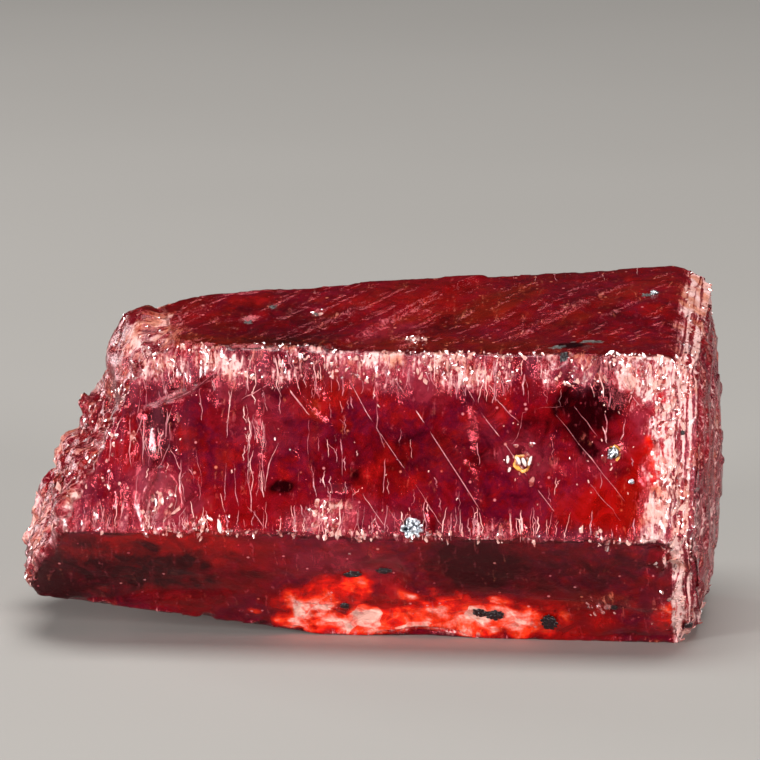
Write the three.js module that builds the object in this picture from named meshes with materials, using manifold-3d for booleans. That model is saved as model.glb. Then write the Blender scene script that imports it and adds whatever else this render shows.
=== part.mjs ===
// A raw ruby crystal, grown as one piece: a stubby hexagonal prism of corundum that lies on one of
// its long faces. One end is a stack of thin plates, where the crystal parts across its length. The
// other end is an old break. Etching has left upright spindle-shaped pits, slanting seams, growth steps
// and small round pits in the faces, and has nibbled the edges between them.
//
// Millimetres. X runs along the crystal towards the plated end, -Y is the front and Z is up. The origin is
// the middle of the footprint box, on the surface that the crystal lies on.
import * as THREE from "three";
import { mergeVertices } from "three/addons/utils/BufferGeometryUtils.js";
import Module from "manifold-3d";

// Driving dimensions: where the ends are, and the widths of the prism faces round the cross-section.
const PLATED_END = 7.04;
const BROKEN_END = -8;
const FACE_ANGLE = 60;
const FRONT_LEAN = 20;
const UNDER_WIDTH = 3.1;
const FRONT_WIDTH = 3.8;
const TOP_WIDTH = 5.5;
const BACK_UPPER_WIDTH = 3.0;

// The top face is narrower at the break, because the back of the crystal draws in.
const TOP_WIDTH_AT_BREAK = 2.5;
const TOP_BREAK_X = -4.2;

// The underside is level only from here to the plated end. Towards the break it rises.
const RISE_START = -0.9;
const RISE_ANGLE = 8;

// The plates at the parted end: where they begin, how many, and how far the stack draws in.
const PLATES_START = 6.25;
const PLATE_COUNT = 9;
const PLATES_ROUNDING = 0.5;
const PLATES_DOMING = 0.75;

// Details smaller than this are merged away.
const SMALLEST_DETAIL = 0.018;

const wasm = await Module();
wasm.setup();

const radians = THREE.MathUtils.degToRad;
const at = (x, y, z) => new THREE.Vector3(x, y, z);
const X = at(1, 0, 0);

// A repeatable stream of numbers from 0 to 1, so that the crystal is the same each time.
function dice(seed) {
  let state = seed;
  return () => {
    state = (state + 0x6d2b79f5) | 0;
    let mixed = Math.imul(state ^ (state >>> 15), 1 | state);
    mixed = (mixed + Math.imul(mixed ^ (mixed >>> 7), 61 | mixed)) ^ mixed;
    return ((mixed ^ (mixed >>> 14)) >>> 0) / 4294967296;
  };
}
const between = (roll, low, high) => low + (high - low) * roll();

// A closed geometry as a solid, and a solid as a geometry again.
function toSolid(geometry) {
  const bare = geometry.clone();
  bare.deleteAttribute("normal");
  bare.deleteAttribute("uv");
  const merged = mergeVertices(bare, 1e-4);
  return new wasm.Manifold(
    new wasm.Mesh({
      numProp: 3,
      vertProperties: new Float32Array(merged.attributes.position.array),
      triVerts: new Uint32Array(merged.index.array),
    }),
  );
}
function toGeometry(solid) {
  const mesh = solid.getMesh();
  const geometry = new THREE.BufferGeometry();
  geometry.setAttribute("position", new THREE.BufferAttribute(mesh.vertProperties, 3));
  geometry.setIndex(new THREE.BufferAttribute(mesh.triVerts, 1));
  geometry.computeVertexNormals();
  return geometry;
}
const joined = (solids) => solids.reduce((all, one) => all.add(one));

// The cross-section: corners as [y, z], walked from the front foot up over the top to the back foot.
// Each face turns by 60 degrees from the last, and the foot is level because the crystal lies on it.
const turn = (facing) => [Math.sin(radians(facing)), Math.cos(radians(facing))];
const step = (from, facing, width) => [from[0] + width * turn(facing)[0], from[1] + width * turn(facing)[1]];
const FRONT_FOOT = [0, 0];
const FRONT_LOWER = step(FRONT_FOOT, FRONT_LEAN - FACE_ANGLE, UNDER_WIDTH);
const FRONT_UPPER = step(FRONT_LOWER, FRONT_LEAN, FRONT_WIDTH);
const TOP_BACK = step(FRONT_UPPER, FRONT_LEAN + FACE_ANGLE, TOP_WIDTH);
const BACK_MIDDLE = step(TOP_BACK, FRONT_LEAN + 2 * FACE_ANGLE, BACK_UPPER_WIDTH);
const BACK_FOOT = step(BACK_MIDDLE, FRONT_LEAN + 180, BACK_MIDDLE[1] / Math.cos(radians(FRONT_LEAN)));
const SECTION = [FRONT_FOOT, FRONT_LOWER, FRONT_UPPER, TOP_BACK, BACK_MIDDLE, BACK_FOOT];

// A prism face: a corner it starts from, the way up across it square to X, and the way it looks out.
// on(x, across) is a point in the face.
function face(corner, facing) {
  const [dy, dz] = turn(facing);
  const across = at(0, dy, dz);
  const on = (x, distance) => at(x, corner[0], corner[1]).addScaledVector(across, distance);
  return { across, out: at(0, -dz, dy), on };
}
const under = face(FRONT_FOOT, FRONT_LEAN - FACE_ANGLE);
const front = face(FRONT_LOWER, FRONT_LEAN);
const top = face(FRONT_UPPER, FRONT_LEAN + FACE_ANGLE);
const backUpper = face(TOP_BACK, FRONT_LEAN + 2 * FACE_ANGLE);
const backLower = face(BACK_MIDDLE, FRONT_LEAN + 180);

// An outline in the YZ plane, drawn out along X.
function slab(outline, fromX, toX) {
  const shape = new THREE.Shape(outline.map(([y, z]) => new THREE.Vector2(y, z)));
  const geometry = new THREE.ExtrudeGeometry(shape, { depth: toX - fromX, bevelEnabled: false });
  geometry.applyMatrix4(new THREE.Matrix4().makeBasis(at(0, 1, 0), at(0, 0, 1), X));
  return toSolid(geometry.translate(fromX, 0, 0));
}

// Places a shape with its own X, Y and Z along three given ways.
function placed(geometry, middle, side, along, out) {
  geometry.applyMatrix4(new THREE.Matrix4().makeBasis(side, along, out));
  return toSolid(geometry.translate(middle.x, middle.y, middle.z));
}

// A long octahedron, sunk or raised along a line in a face.
function spindle(middle, along, out, length, width, depth) {
  const side = along.clone().cross(out).normalize();
  const geometry = new THREE.OctahedronGeometry(1).scale(width / 2, length / 2, depth);
  return placed(geometry, middle, side, along, out);
}

// A rounded stone of a few facets, turned at random and squashed to the given half-widths.
function lump(roll, middle, sizes) {
  const geometry = new THREE.IcosahedronGeometry(1);
  geometry.rotateX(roll() * Math.PI).rotateY(roll() * Math.PI).rotateZ(roll() * Math.PI);
  return toSolid(geometry.scale(...sizes).translate(middle.x, middle.y, middle.z));
}

// A bowl with an uneven rim that opens out of a face, for a shell-like chip or a small pit.
const BOWL_SIDES = 9;
function bowl(middle, out, radius, depth) {
  const profile = [
    [0, -depth],
    [0.6 * radius, -0.75 * depth],
    [radius, 0],
    [1.3 * radius, 0.6 * radius],
    [0, 0.6 * radius],
  ];
  const geometry = new THREE.LatheGeometry(profile.map(([r, h]) => new THREE.Vector2(r, h)), BOWL_SIDES);
  const points = geometry.attributes.position;
  for (let i = 0; i < points.count; i += 1) {
    const round = Math.atan2(points.getZ(i), points.getX(i));
    const reach = 1 + 0.14 * Math.sin(2 * round + middle.x * 7) + 0.12 * Math.sin(3 * round + middle.z * 9);
    points.setX(i, points.getX(i) * reach);
    points.setZ(i, points.getZ(i) * reach);
  }
  return placed(geometry, middle, X, out, X.clone().cross(out));
}

// A direction in a face, turned from the way along the crystal towards the way up across the face.
const slanted = (where, degrees) =>
  where.across.clone().cross(where.out).applyAxisAngle(where.out, radians(degrees));

// A chip in a face: one bent riser, from which the broken ground climbs back to the face as it goes up.
const RISER_SHARE = 0.12;
function chip(where, { x, up, slant, length, width, depth }) {
  const along = slanted(where, slant);
  const geometry = new THREE.OctahedronGeometry(1);
  const points = geometry.attributes.position;
  for (let i = 0; i < points.count; i += 1) {
    points.setY(i, points.getY(i) * (points.getY(i) < 0 ? RISER_SHARE : 1));
  }
  geometry.scale(length / 2, width, depth);
  return placed(geometry, where.on(x, up), along, where.out.clone().cross(along), where.out);
}

// A growth step in a face: all the ground on the far side of a slanting line lies a little lower.
const STEP_SIZE = 30;
function growthStep(where, { x, up, slant, drop }) {
  const along = slanted(where, slant);
  const sideways = where.out.clone().cross(along);
  const middle = where.on(x, up).addScaledVector(sideways, STEP_SIZE / 2);
  middle.addScaledVector(where.out, STEP_SIZE / 2 - drop);
  return placed(new THREE.BoxGeometry(STEP_SIZE, STEP_SIZE, STEP_SIZE), middle, along, sideways, where.out);
}

// Everything on the far side of a plane, and a solid with that taken off.
const CUT_SIZE = 40;
function beyond(through, facing) {
  const block = new THREE.BoxGeometry(CUT_SIZE, CUT_SIZE, CUT_SIZE);
  block.translate(0, 0, CUT_SIZE / 2);
  block.applyQuaternion(new THREE.Quaternion().setFromUnitVectors(at(0, 0, 1), facing.clone().normalize()));
  return toSolid(block.translate(through.x, through.y, through.z));
}
const cleave = (solid, through, facing) => solid.subtract(beyond(through, facing));

// The break, as lines that run from the front to the back, one below another: over the shoulder, down
// two steep faces and in again under the foot. Each face of the break spans two of them.
const BREAK_LINES = [
  { front: at(-3.95, -0.7, 5.97), back: at(-4.15, 1.8, 6.4) },
  { front: at(-4.02, -0.7, 5.8), back: at(-4.67, 1.6, 6.17) },
  { front: at(-5.3, -1.15, 3.5), back: at(-6.34, 2.8, 3.41) },
  { front: at(-5.95, -2, 2.2), back: at(-7.13, 2.5, 1.45) },
  { front: at(-6.55, -0.1, 0.85), back: at(-6.75, 2.5, 0.6) },
];
function cleaveBreak(solid) {
  let broken = solid;
  BREAK_LINES.slice(1).forEach((low, i) => {
    const high = BREAK_LINES[i];
    const down = low.back.clone().sub(high.back);
    const forward = low.front.clone().sub(low.back);
    const out = down.cross(forward);
    broken = cleave(broken, low.back, out.x > 0 ? out.negate() : out);
  });
  return broken;
}

// A point on the back edge of the top, which draws in towards the break.
function edgeOfTop(x) {
  const share = (x - TOP_BREAK_X) / (PLATED_END - TOP_BREAK_X);
  return top.on(x, TOP_WIDTH_AT_BREAK + (TOP_WIDTH - TOP_WIDTH_AT_BREAK) * share);
}

// The face that draws the back in, below that edge.
const inwards = edgeOfTop(PLATED_END).sub(edgeOfTop(TOP_BREAK_X)).cross(backUpper.across).normalize();
const drawnIn = {
  across: backUpper.across,
  out: inwards,
  on: (x, down) => edgeOfTop(x).addScaledVector(backUpper.across, down),
};

// The body: the prism, with its back drawn in towards the break, its underside rising there, the break
// itself, and a narrow facet that starts between the front and the face under it.
function body() {
  let solid = slab(SECTION, BROKEN_END, PLATES_START + 0.1);

  solid = cleave(solid, edgeOfTop(TOP_BREAK_X), drawnIn.out);
  const rise = radians(RISE_ANGLE);
  solid = cleave(solid, at(RISE_START, 0, 0), at(-Math.sin(rise), 0, -Math.cos(rise)));

  solid = cleaveBreak(solid);
  const backOfBreak = at(-0.8, 0.6, 0.1);
  solid = cleave(solid, at(-6.3, 3, 2.6), backOfBreak);

  return solid.subtract(narrowFacet());
}

// A narrow facet between the front and the face under it. It starts at a point and soon has its full width.
function narrowFacet() {
  const start = under.on(-4.6, UNDER_WIDTH);
  const widening = under.on(-3, UNDER_WIDTH - 0.62).sub(start).cross(front.on(-3, 0.08).sub(start));
  const edge = under.on(0, UNDER_WIDTH - 0.5);
  const level = X.clone().cross(front.on(0, 0.06).sub(edge));
  return beyond(start, widening).intersect(beyond(edge, level));
}

// The outline of one plate: the cross-section drawn in on each side, its corners blunted and its sides
// broken into short ragged runs. The shares say how much of the inset each side gets.
const SIDE_SHARES = [0.95, 0.8, 1.05, 1.7, 1.5, 0.9];
const RUNS_PER_SIDE = 4;
const CORNER_SHARE = 0.07;
const RUN_JITTER = 0.3;
const PLATE_RAGGED = 0.09;
function plateOutline(roll, inset) {
  const middle = [0, 1].map((k) => SECTION.reduce((sum, p) => sum + p[k], 0) / SECTION.length);
  const sides = SECTION.map((p, i) => {
    const q = SECTION[(i + 1) % SECTION.length];
    const length = Math.hypot(q[0] - p[0], q[1] - p[1]);
    const along = [(q[0] - p[0]) / length, (q[1] - p[1]) / length];
    const towards = along[1] * (middle[0] - p[0]) - along[0] * (middle[1] - p[1]);
    const inward = [along[1] * Math.sign(towards), -along[0] * Math.sign(towards)];
    const depth = inset * SIDE_SHARES[i];
    return { from: [p[0] + inward[0] * depth, p[1] + inward[1] * depth], along, inward };
  });
  const corners = sides.map((side, i) => {
    const last = sides[(i + sides.length - 1) % sides.length];
    const cross = last.along[0] * side.along[1] - last.along[1] * side.along[0];
    const gap = [side.from[0] - last.from[0], side.from[1] - last.from[1]];
    const run = (gap[0] * side.along[1] - gap[1] * side.along[0]) / cross;
    return [last.from[0] + last.along[0] * run, last.from[1] + last.along[1] * run];
  });
  const outline = [];
  corners.forEach((p, i) => {
    const q = corners[(i + 1) % corners.length];
    for (let n = 0; n <= RUNS_PER_SIDE; n += 1) {
      const run = (n + RUN_JITTER * (roll() - 0.5)) / RUNS_PER_SIDE;
      const share = CORNER_SHARE + (1 - 2 * CORNER_SHARE) * run;
      const nibble = PLATE_RAGGED * roll();
      const inward = sides[i].inward;
      outline.push([0, 1].map((k) => p[k] + (q[k] - p[k]) * share + inward[k] * nibble));
    }
  });
  return outline;
}

// The plates, thick near the body and thin at the end face, each a little in or out of line.
const PLATE_THINNING = 1.35;
const PLATE_LAP = 0.04;
const LEAST_INSET = 0.015;
function plates() {
  const roll = dice(11);
  const stack = [];
  let x = PLATES_START;
  for (let i = 0; i < PLATE_COUNT; i += 1) {
    const share = (i + 1) / PLATE_COUNT;
    const nextX = PLATES_START + (PLATED_END - PLATES_START) * (1 - (1 - share) ** PLATE_THINNING);
    const inset = PLATES_ROUNDING * share ** 2 + PLATES_DOMING * share ** 8 + between(roll, -0.03, 0.07);
    stack.push(slab(plateOutline(roll, Math.max(inset, LEAST_INSET)), x - PLATE_LAP, nextX));
    x = nextX;
  }
  return joined(stack);
}

// A place on one of the faces of the break.
function onBreak(roll, i) {
  const down = roll();
  const forward = BREAK_LINES[i].front.clone().lerp(BREAK_LINES[i + 1].front, down);
  return BREAK_LINES[i].back.clone().lerp(BREAK_LINES[i + 1].back, down).lerp(forward, between(roll, 0, 1));
}

// The break is uneven: a few lumps stand on it, and it is scooped out all over, lumps too. Only the
// shoulder over it is full and smooth.
const SCOOPS_PER_FACE = [0, 20, 17, 10];
const LUMPS_PER_FACE = [0, 10, 9, 4];
const SHOULDER_KNOB = at(-4.98, 1.5, 5.42);
const SHOULDER_FOOT = 4.85;
function breakScoops() {
  const roll = dice(19);
  const scoops = SCOOPS_PER_FACE.map((count, i) =>
    Array.from({ length: count }, () => {
      const size = between(roll, 0.35, 0.75);
      const middle = onBreak(roll, i);
      middle.x -= size * (middle.z > SHOULDER_FOOT ? 0.62 : 0.4);
      return lump(roll, middle, [size * 0.6, size * 1.2, size * between(roll, 0.8, 1.5)]);
    }),
  );
  return joined(scoops.flat());
}
function breakLumps() {
  const roll = dice(23);
  const lumps = LUMPS_PER_FACE.map((count, i) =>
    Array.from({ length: count }, () => {
      const size = between(roll, 0.2, 0.5);
      const middle = onBreak(roll, i);
      middle.x += size * 0.15;
      return lump(roll, middle, [size * 0.5, size * 1.1, size * between(roll, 0.8, 1.4)]);
    }),
  );
  return joined([...lumps.flat(), lump(roll, SHOULDER_KNOB, [0.36, 0.7, 0.5])]);
}

// Upright etch pits in the front face: thick along both its edges and near the break, thin in between.
const UPPER_PIT_SPACING = 0.19;
const LOWER_PIT_SPACING = 0.27;
const SCATTERED_PITS = 34;
const PIT_DEPTH = 0.07;
function frontPits() {
  const roll = dice(56);
  const pits = [];
  const pit = (x, up, length, width) => {
    const along = front.across.clone().applyAxisAngle(front.out, between(roll, -0.1, 0.22));
    pits.push(spindle(front.on(x, up), along, front.out, length, width, PIT_DEPTH));
  };
  for (let x = -4; x < 5.8; x += UPPER_PIT_SPACING) {
    const middleX = x + between(roll, -0.06, 0.06);
    pit(middleX, between(roll, 2.9, 3.5), between(roll, 0.5, 1.2), between(roll, 0.09, 0.16));
  }
  for (let x = -5; x < 5.9; x += LOWER_PIT_SPACING) {
    const middleX = x + between(roll, -0.08, 0.08);
    pit(middleX, between(roll, 0.12, 0.4), between(roll, 0.4, 0.9), between(roll, 0.07, 0.12));
  }
  for (let i = 0; i < SCATTERED_PITS; i += 1) {
    const x = -4.9 + 9.5 * roll() ** 1.7;
    pit(x, between(roll, 0.7, 2.9), between(roll, 0.5, 1.5), between(roll, 0.08, 0.15));
  }
  return joined(pits);
}

// Seams: thin raised ribs where twin planes cross the front face, all on one slant, with a few short
// ones that cross them the other way: [x, up, length, width].
const SEAM_SLANT = -52;
const SEAM_HEIGHT = 0.045;
const SEAMS = [
  [1.02, 1.85, 4.2, 0.09],
  [2.44, 2.5, 2.9, 0.12],
  [1.7, 2.3, 2.4, 0.08],
  [3.29, 1.3, 2.2, 0.09],
  [5.25, 2.5, 2.1, 0.09],
  [4.72, 1.9, 2.6, 0.07],
  [4.39, 1.2, 1.7, 0.07],
  [-0.86, 2.7, 1.6, 0.08],
];
const CROSS_SLANT = 38;
const CROSS_SEAMS = [
  [-3.02, 3.0, 1.5, 0.12],
  [-1.77, 3.0, 1.2, 0.08],
  [0.72, 3.25, 0.9, 0.08],
  [-4.79, 0.75, 1.1, 0.1],
  [1.33, 1.5, 0.9, 0.08],
];
function frontSeams() {
  const rib = (slant) => ([x, up, length, width]) => {
    const along = slanted(front, slant);
    return spindle(front.on(x, up), along, front.out, length, width, SEAM_HEIGHT);
  };
  return joined([...SEAMS.map(rib(SEAM_SLANT)), ...CROSS_SEAMS.map(rib(CROSS_SLANT))]);
}

// Small pits and shell-like chips in the front face: [x, up, radius, depth].
const FRONT_DISHES = [
  [1.25, 0.36, 0.25, 0.14],
  [3.35, 1.62, 0.17, 0.1],
  [3.37, 1.72, 0.52, 0.05],
  [5.09, 1.83, 0.2, 0.11],
  [5.54, 1.2, 0.1, 0.05],
  [-3.73, 0.62, 0.52, 0.12],
  [-4.38, 0.5, 0.4, 0.08],
  [-0.73, 0.4, 0.36, 0.1],
  [-0.2, 0.5, 0.3, 0.1],
  [-0.42, 0.2, 0.33, 0.1],
  [4.42, 3.62, 0.42, 0.2],
  [3.92, 3.7, 0.28, 0.14],
  [-3.09, 3.5, 0.3, 0.12],
  [-3.98, 3.1, 0.4, 0.14],
];

// The same in the top face, and in the face under the front.
const TOP_DISHES = [
  [-2.32, 1.46, 0.17, 0.07],
  [-1.89, 2.07, 0.13, 0.05],
  [-1.01, 1.83, 0.15, 0.06],
  [1.11, 0.78, 0.22, 0.06],
  [5.66, 3.3, 0.16, 0.06],
  [4.41, 0.75, 0.24, 0.09],
];
const UNDER_DISHES = [
  [4.68, 0.9, 0.4, 0.08],
  [2.16, 0.5, 0.4, 0.1],
];
function dishes() {
  const on = (where) => ([x, up, radius, depth]) => bowl(where.on(x, up), where.out, radius, depth);
  return joined([...FRONT_DISHES.map(on(front)), ...TOP_DISHES.map(on(top)), ...UNDER_DISHES.map(on(under))]);
}

// Growth steps. The one on the top slants right across it, and the ones on the back are a guess at the
// same habit. Beyond the step on the top a healed crack runs the same way.
const TOP_SLANT = 55;
const TOP_STEP = { x: -0.7, up: 0, slant: TOP_SLANT + 180, drop: 0.085 };
const BACK_UPPER_STEPS = [
  { x: 0.8, up: 0.5, slant: 192, drop: 0.06 },
  { x: 1.5, up: 1.4, slant: 188, drop: 0.12 },
  { x: 3.6, up: 2, slant: -80, drop: 0.17 },
];
const BACK_LOWER_STEPS = [
  { x: 1, up: 1.3, slant: -4, drop: 0.09 },
  { x: 2.8, up: 2.4, slant: 62, drop: 0.15 },
];
const CRACK_X = 3.3;
function growthSteps() {
  const along = slanted(top, TOP_SLANT);
  const crackMiddle = top.on(CRACK_X, 0).addScaledVector(along, 3).addScaledVector(top.out, -TOP_STEP.drop);
  return joined([
    growthStep(top, TOP_STEP),
    spindle(crackMiddle, along, top.out, 5.4, 0.17, 0.1),
    ...BACK_UPPER_STEPS.map((one) => growthStep(drawnIn, one)),
    ...BACK_LOWER_STEPS.map((one) => growthStep(backLower, one)),
  ]);
}

// Bites out of an edge: small blunt stones set along it, sunk by about half their size.
function nibbles(seed, from, to, out, count, smallest, largest) {
  const roll = dice(seed);
  const along = to.clone().sub(from);
  const bites = [];
  for (let i = 0; i < count; i += 1) {
    const size = between(roll, smallest, largest);
    const middle = from.clone().addScaledVector(along, (i + roll()) / count);
    middle.addScaledVector(out, size * between(roll, 0.45, 0.85));
    bites.push(lump(roll, middle, [size * between(roll, 0.9, 1.7), size, size]));
  }
  return joined(bites);
}

// All the bites: along the front face's two edges, the back of the top, the middle of the back, and
// round the foot, front and back.
function edgeBites() {
  const upperOut = front.out.clone().add(top.out).normalize();
  const lowerOut = front.out.clone().add(under.out).normalize();
  const backOut = at(0, 0.5, 0.87);
  const footOut = at(0, -0.75, -0.35).normalize();
  const heelOut = at(0, 0.9, -0.4);
  const riseEnd = (x, y) => at(x, y, (RISE_START - x) * Math.tan(radians(RISE_ANGLE)));
  const middleBack = (x) => backLower.on(x, 0);
  return joined([
    nibbles(41, front.on(-4.2, FRONT_WIDTH), front.on(6.2, FRONT_WIDTH), upperOut, 36, 0.1, 0.3),
    nibbles(43, front.on(-6, 0), front.on(6.2, 0), lowerOut, 26, 0.06, 0.14),
    nibbles(47, edgeOfTop(-4), edgeOfTop(6.3), backOut, 20, 0.14, 0.34),
    nibbles(53, riseEnd(-6.6, 0), riseEnd(RISE_START, 0), footOut, 14, 0.08, 0.2),
    nibbles(59, riseEnd(RISE_START, 0), at(6.4, 0, 0), footOut, 12, 0.06, 0.15),
    nibbles(61, middleBack(-2), middleBack(6.2), at(0, 1, 0), 16, 0.12, 0.28),
    nibbles(67, riseEnd(-4, BACK_FOOT[0]), riseEnd(RISE_START, BACK_FOOT[0]), heelOut, 7, 0.1, 0.22),
    nibbles(71, riseEnd(RISE_START, BACK_FOOT[0]), at(6.2, BACK_FOOT[0], 0), heelOut, 12, 0.08, 0.18),
  ]);
}

// The faces that the crystal turns away: upright etch pits on both, deep enough to show below the steps.
const BACK_PIT_DEPTH = 0.2;
function backPits() {
  const roll = dice(73);
  const pits = [];
  const pit = (where, x, up) => {
    const along = where.across.clone().applyAxisAngle(where.out, between(roll, -0.2, 0.1));
    const length = between(roll, 0.5, 1.4);
    const width = between(roll, 0.13, 0.2);
    pits.push(spindle(where.on(x, up), along, where.out, length, width, BACK_PIT_DEPTH));
  };
  for (let i = 0; i < 22; i += 1) {
    pit(backLower, between(roll, -4, 6), between(roll, 0.4, 4.3));
  }
  for (let i = 0; i < 14; i += 1) {
    pit(drawnIn, between(roll, -3.5, 6), between(roll, 0.4, 2.6));
  }
  return joined(pits);
}

// Upright cracks in the face under the front.
const CRACK_LEAN = 0.16;
function underCracks() {
  const along = under.across.clone().applyAxisAngle(under.out, CRACK_LEAN);
  const cracks = [-0.45, -0.1, 0.3, 0.62].map((x) => {
    return spindle(under.on(x, 1.9), along, under.out, 1.4, 0.05, 0.12);
  });
  return joined(cracks);
}

// Chips in each face. The first in the front is left where a slab has come off its upper corner.
const FRONT_CHIPS = [
  { x: -3.37, up: 2.95, slant: 27, length: 3.0, width: 1.5, depth: 0.28 },
  { x: -0.4, up: 0.95, slant: 186, length: 1.3, width: 0.8, depth: 0.14 },
  { x: 5.37, up: 3.15, slant: -50, length: 2.0, width: 0.7, depth: 0.2 },
  { x: -1.93, up: 1.9, slant: 93, length: 3.2, width: 1.2, depth: 0.09 },
  { x: 2.28, up: 1.7, slant: 95, length: 3.4, width: 1.3, depth: 0.08 },
  { x: 3.69, up: 1.3, slant: -86, length: 2.4, width: 1.1, depth: 0.08 },
  { x: -4.22, up: 1.5, slant: -84, length: 2.2, width: 0.8, depth: 0.12 },
  { x: -0.66, up: 2.6, slant: 100, length: 1.8, width: 0.7, depth: 0.09 },
];
const TOP_CHIPS = [
  { x: 1.7, up: 1.6, slant: 235, length: 3.0, width: 0.9, depth: 0.09 },
  { x: -2.4, up: 0.9, slant: 58, length: 2.0, width: 1.2, depth: 0.08 },
  { x: 3.6, up: 3.6, slant: 235, length: 2.4, width: 0.9, depth: 0.1 },
  { x: -1.2, up: 2.9, slant: 12, length: 2.8, width: 0.7, depth: 0.1 },
];
const UNDER_CHIPS = [
  { x: 0.86, up: 1.9, slant: 92, length: 1.5, width: 1.7, depth: 0.11 },
  { x: -3.8, up: 1.1, slant: 8, length: 4.0, width: 1.1, depth: 0.1 },
  { x: 4.5, up: 1.1, slant: 172, length: 3.4, width: 1.0, depth: 0.1 },
];
const BACK_CHIPS = [
  { x: -1.9, up: 1.1, slant: 8, length: 3.3, width: 1.0, depth: 0.13 },
  { x: 3.4, up: 0.7, slant: -5, length: 3.2, width: 0.8, depth: 0.14 },
];
function chips() {
  const on = (where, list) => list.map((one) => chip(where, one));
  return joined([
    ...on(front, FRONT_CHIPS),
    ...on(top, TOP_CHIPS),
    ...on(under, UNDER_CHIPS),
    ...on(drawnIn, BACK_CHIPS),
    ...on(backLower, BACK_CHIPS),
  ]);
}

// Crumbled ground between the front face and the plates, and on the face under it.
function crumbledBand() {
  const roll = dice(83);
  const bites = [];
  const bite = (onFace, out, x, up, size) => {
    const middle = onFace(x, up).addScaledVector(out, size * 0.42);
    bites.push(lump(roll, middle, [size, size * 0.6, size * 1.2]));
  };
  for (let up = 0.1; up < 3.9; up += 0.2) {
    bite(front.on, front.out, between(roll, 5.9, 6.45), up, between(roll, 0.25, 0.5));
  }
  for (let up = 1.9; up < 3; up += 0.25) {
    bite(under.on, under.out, between(roll, 5.6, 6.4), up, between(roll, 0.25, 0.5));
  }
  return joined(bites);
}

// A long hollow in the front of the foot, where light comes in under the crystal.
const footHollow = () => spindle(at(1.25, -0.1, -0.03), X, at(0, -0.5, -0.87), 3.6, 1.1, 0.26);

function crystalSolid() {
  const whole = body().add(plates()).add(breakLumps()).subtract(breakScoops());
  const onFaces = joined([growthSteps(), chips(), dishes(), frontPits(), underCracks(), backPits()]);
  const etched = whole.subtract(onFaces).subtract(footHollow()).subtract(crumbledBand()).add(frontSeams());
  const bitten = etched.subtract(edgeBites()).trimByPlane([0, 0, 1], 0).simplify(SMALLEST_DETAIL);
  const pieces = bitten.decompose().sort((one, other) => other.volume() - one.volume());
  return pieces[0];
}

// The crystal is drawn from the front corner of its foot, and moved so that the origin is where it belongs.
function centred(geometry) {
  geometry.computeBoundingBox();
  const { min, max } = geometry.boundingBox;
  return geometry.translate(-(min.x + max.x) / 2, -(min.y + max.y) / 2, -min.z);
}

const group = new THREE.Group();
const ruby = new THREE.MeshStandardMaterial({ color: 0x8a1420, roughness: 0.35, metalness: 0 });
const crystal = new THREE.Mesh(centred(toGeometry(crystalSolid())), ruby);
crystal.name = "ruby_crystal";
group.add(crystal);
export default group;
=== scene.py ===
import math
import random

import bmesh
import bpy
import numpy as np
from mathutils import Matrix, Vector, noise
from mathutils.bvhtree import BVHTree


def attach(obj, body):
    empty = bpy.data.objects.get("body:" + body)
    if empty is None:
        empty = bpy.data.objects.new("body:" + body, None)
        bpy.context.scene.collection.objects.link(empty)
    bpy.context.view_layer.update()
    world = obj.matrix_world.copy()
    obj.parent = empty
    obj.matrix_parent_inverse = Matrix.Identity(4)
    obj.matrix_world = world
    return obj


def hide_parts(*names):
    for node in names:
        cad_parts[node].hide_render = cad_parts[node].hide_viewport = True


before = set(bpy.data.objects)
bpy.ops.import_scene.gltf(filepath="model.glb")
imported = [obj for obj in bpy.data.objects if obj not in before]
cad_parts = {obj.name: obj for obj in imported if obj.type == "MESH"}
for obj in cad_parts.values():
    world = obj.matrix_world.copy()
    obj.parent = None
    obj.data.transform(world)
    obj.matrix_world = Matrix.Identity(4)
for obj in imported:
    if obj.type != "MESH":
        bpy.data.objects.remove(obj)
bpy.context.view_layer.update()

# The view: low and nearly square to the front of the crystal, a little round towards its plated end,
# through a long lens.
MM = 0.001
VIEW_CENTRE = Vector((0.212, -0.75, 4.9)) * MM
VIEW_TURN = math.radians(6.4)
VIEW_RISE = math.radians(10)
VIEW_DISTANCE = 110 * MM
SENSOR = 36
FRAME_WIDTH = 15.2 * MM

camera_data = bpy.data.cameras.new("camera")
camera_data.sensor_width = SENSOR
camera_data.lens = SENSOR * VIEW_DISTANCE / FRAME_WIDTH
camera_data.clip_start = 0.001
camera = bpy.data.objects.new("camera", camera_data)
bpy.context.scene.collection.objects.link(camera)
away = Vector((
    math.sin(VIEW_TURN) * math.cos(VIEW_RISE),
    -math.cos(VIEW_TURN) * math.cos(VIEW_RISE),
    math.sin(VIEW_RISE),
))
camera.location = VIEW_CENTRE + away * VIEW_DISTANCE
camera.rotation_euler = (-away).to_track_quat("-Z", "Y").to_euler()
bpy.context.scene.camera = camera

# The surface under the crystal: a wide sheet of pale matt card. Its fibres are far too fine to show, so
# only a faint cloudiness is drawn.
CARD_SIZE = 900 * MM
CARD_COLOUR = "#A8A49F"
CARD_SHADE = "#A19D98"
CARD_CLOUDS = 30 * MM


def linear(hex_colour):
    """An sRGB hex colour as linear red, green, blue and alpha."""
    parts = [int(hex_colour[i:i + 2], 16) / 255 for i in (1, 3, 5)]
    return [p / 12.92 if p <= 0.04045 else ((p + 0.055) / 1.055) ** 2.4 for p in parts] + [1]


def add(material, kind, inputs=None, **settings):
    """Adds a node with its settings. An input is a value or the output that feeds it."""
    node = material.node_tree.nodes.new("ShaderNode" + kind)
    for name, value in settings.items():
        setattr(node, name, value)
    for socket, value in (inputs or {}).items():
        if isinstance(value, bpy.types.NodeSocket):
            material.node_tree.links.new(value, node.inputs[socket])
        else:
            node.inputs[socket].default_value = value
    return node


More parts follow.
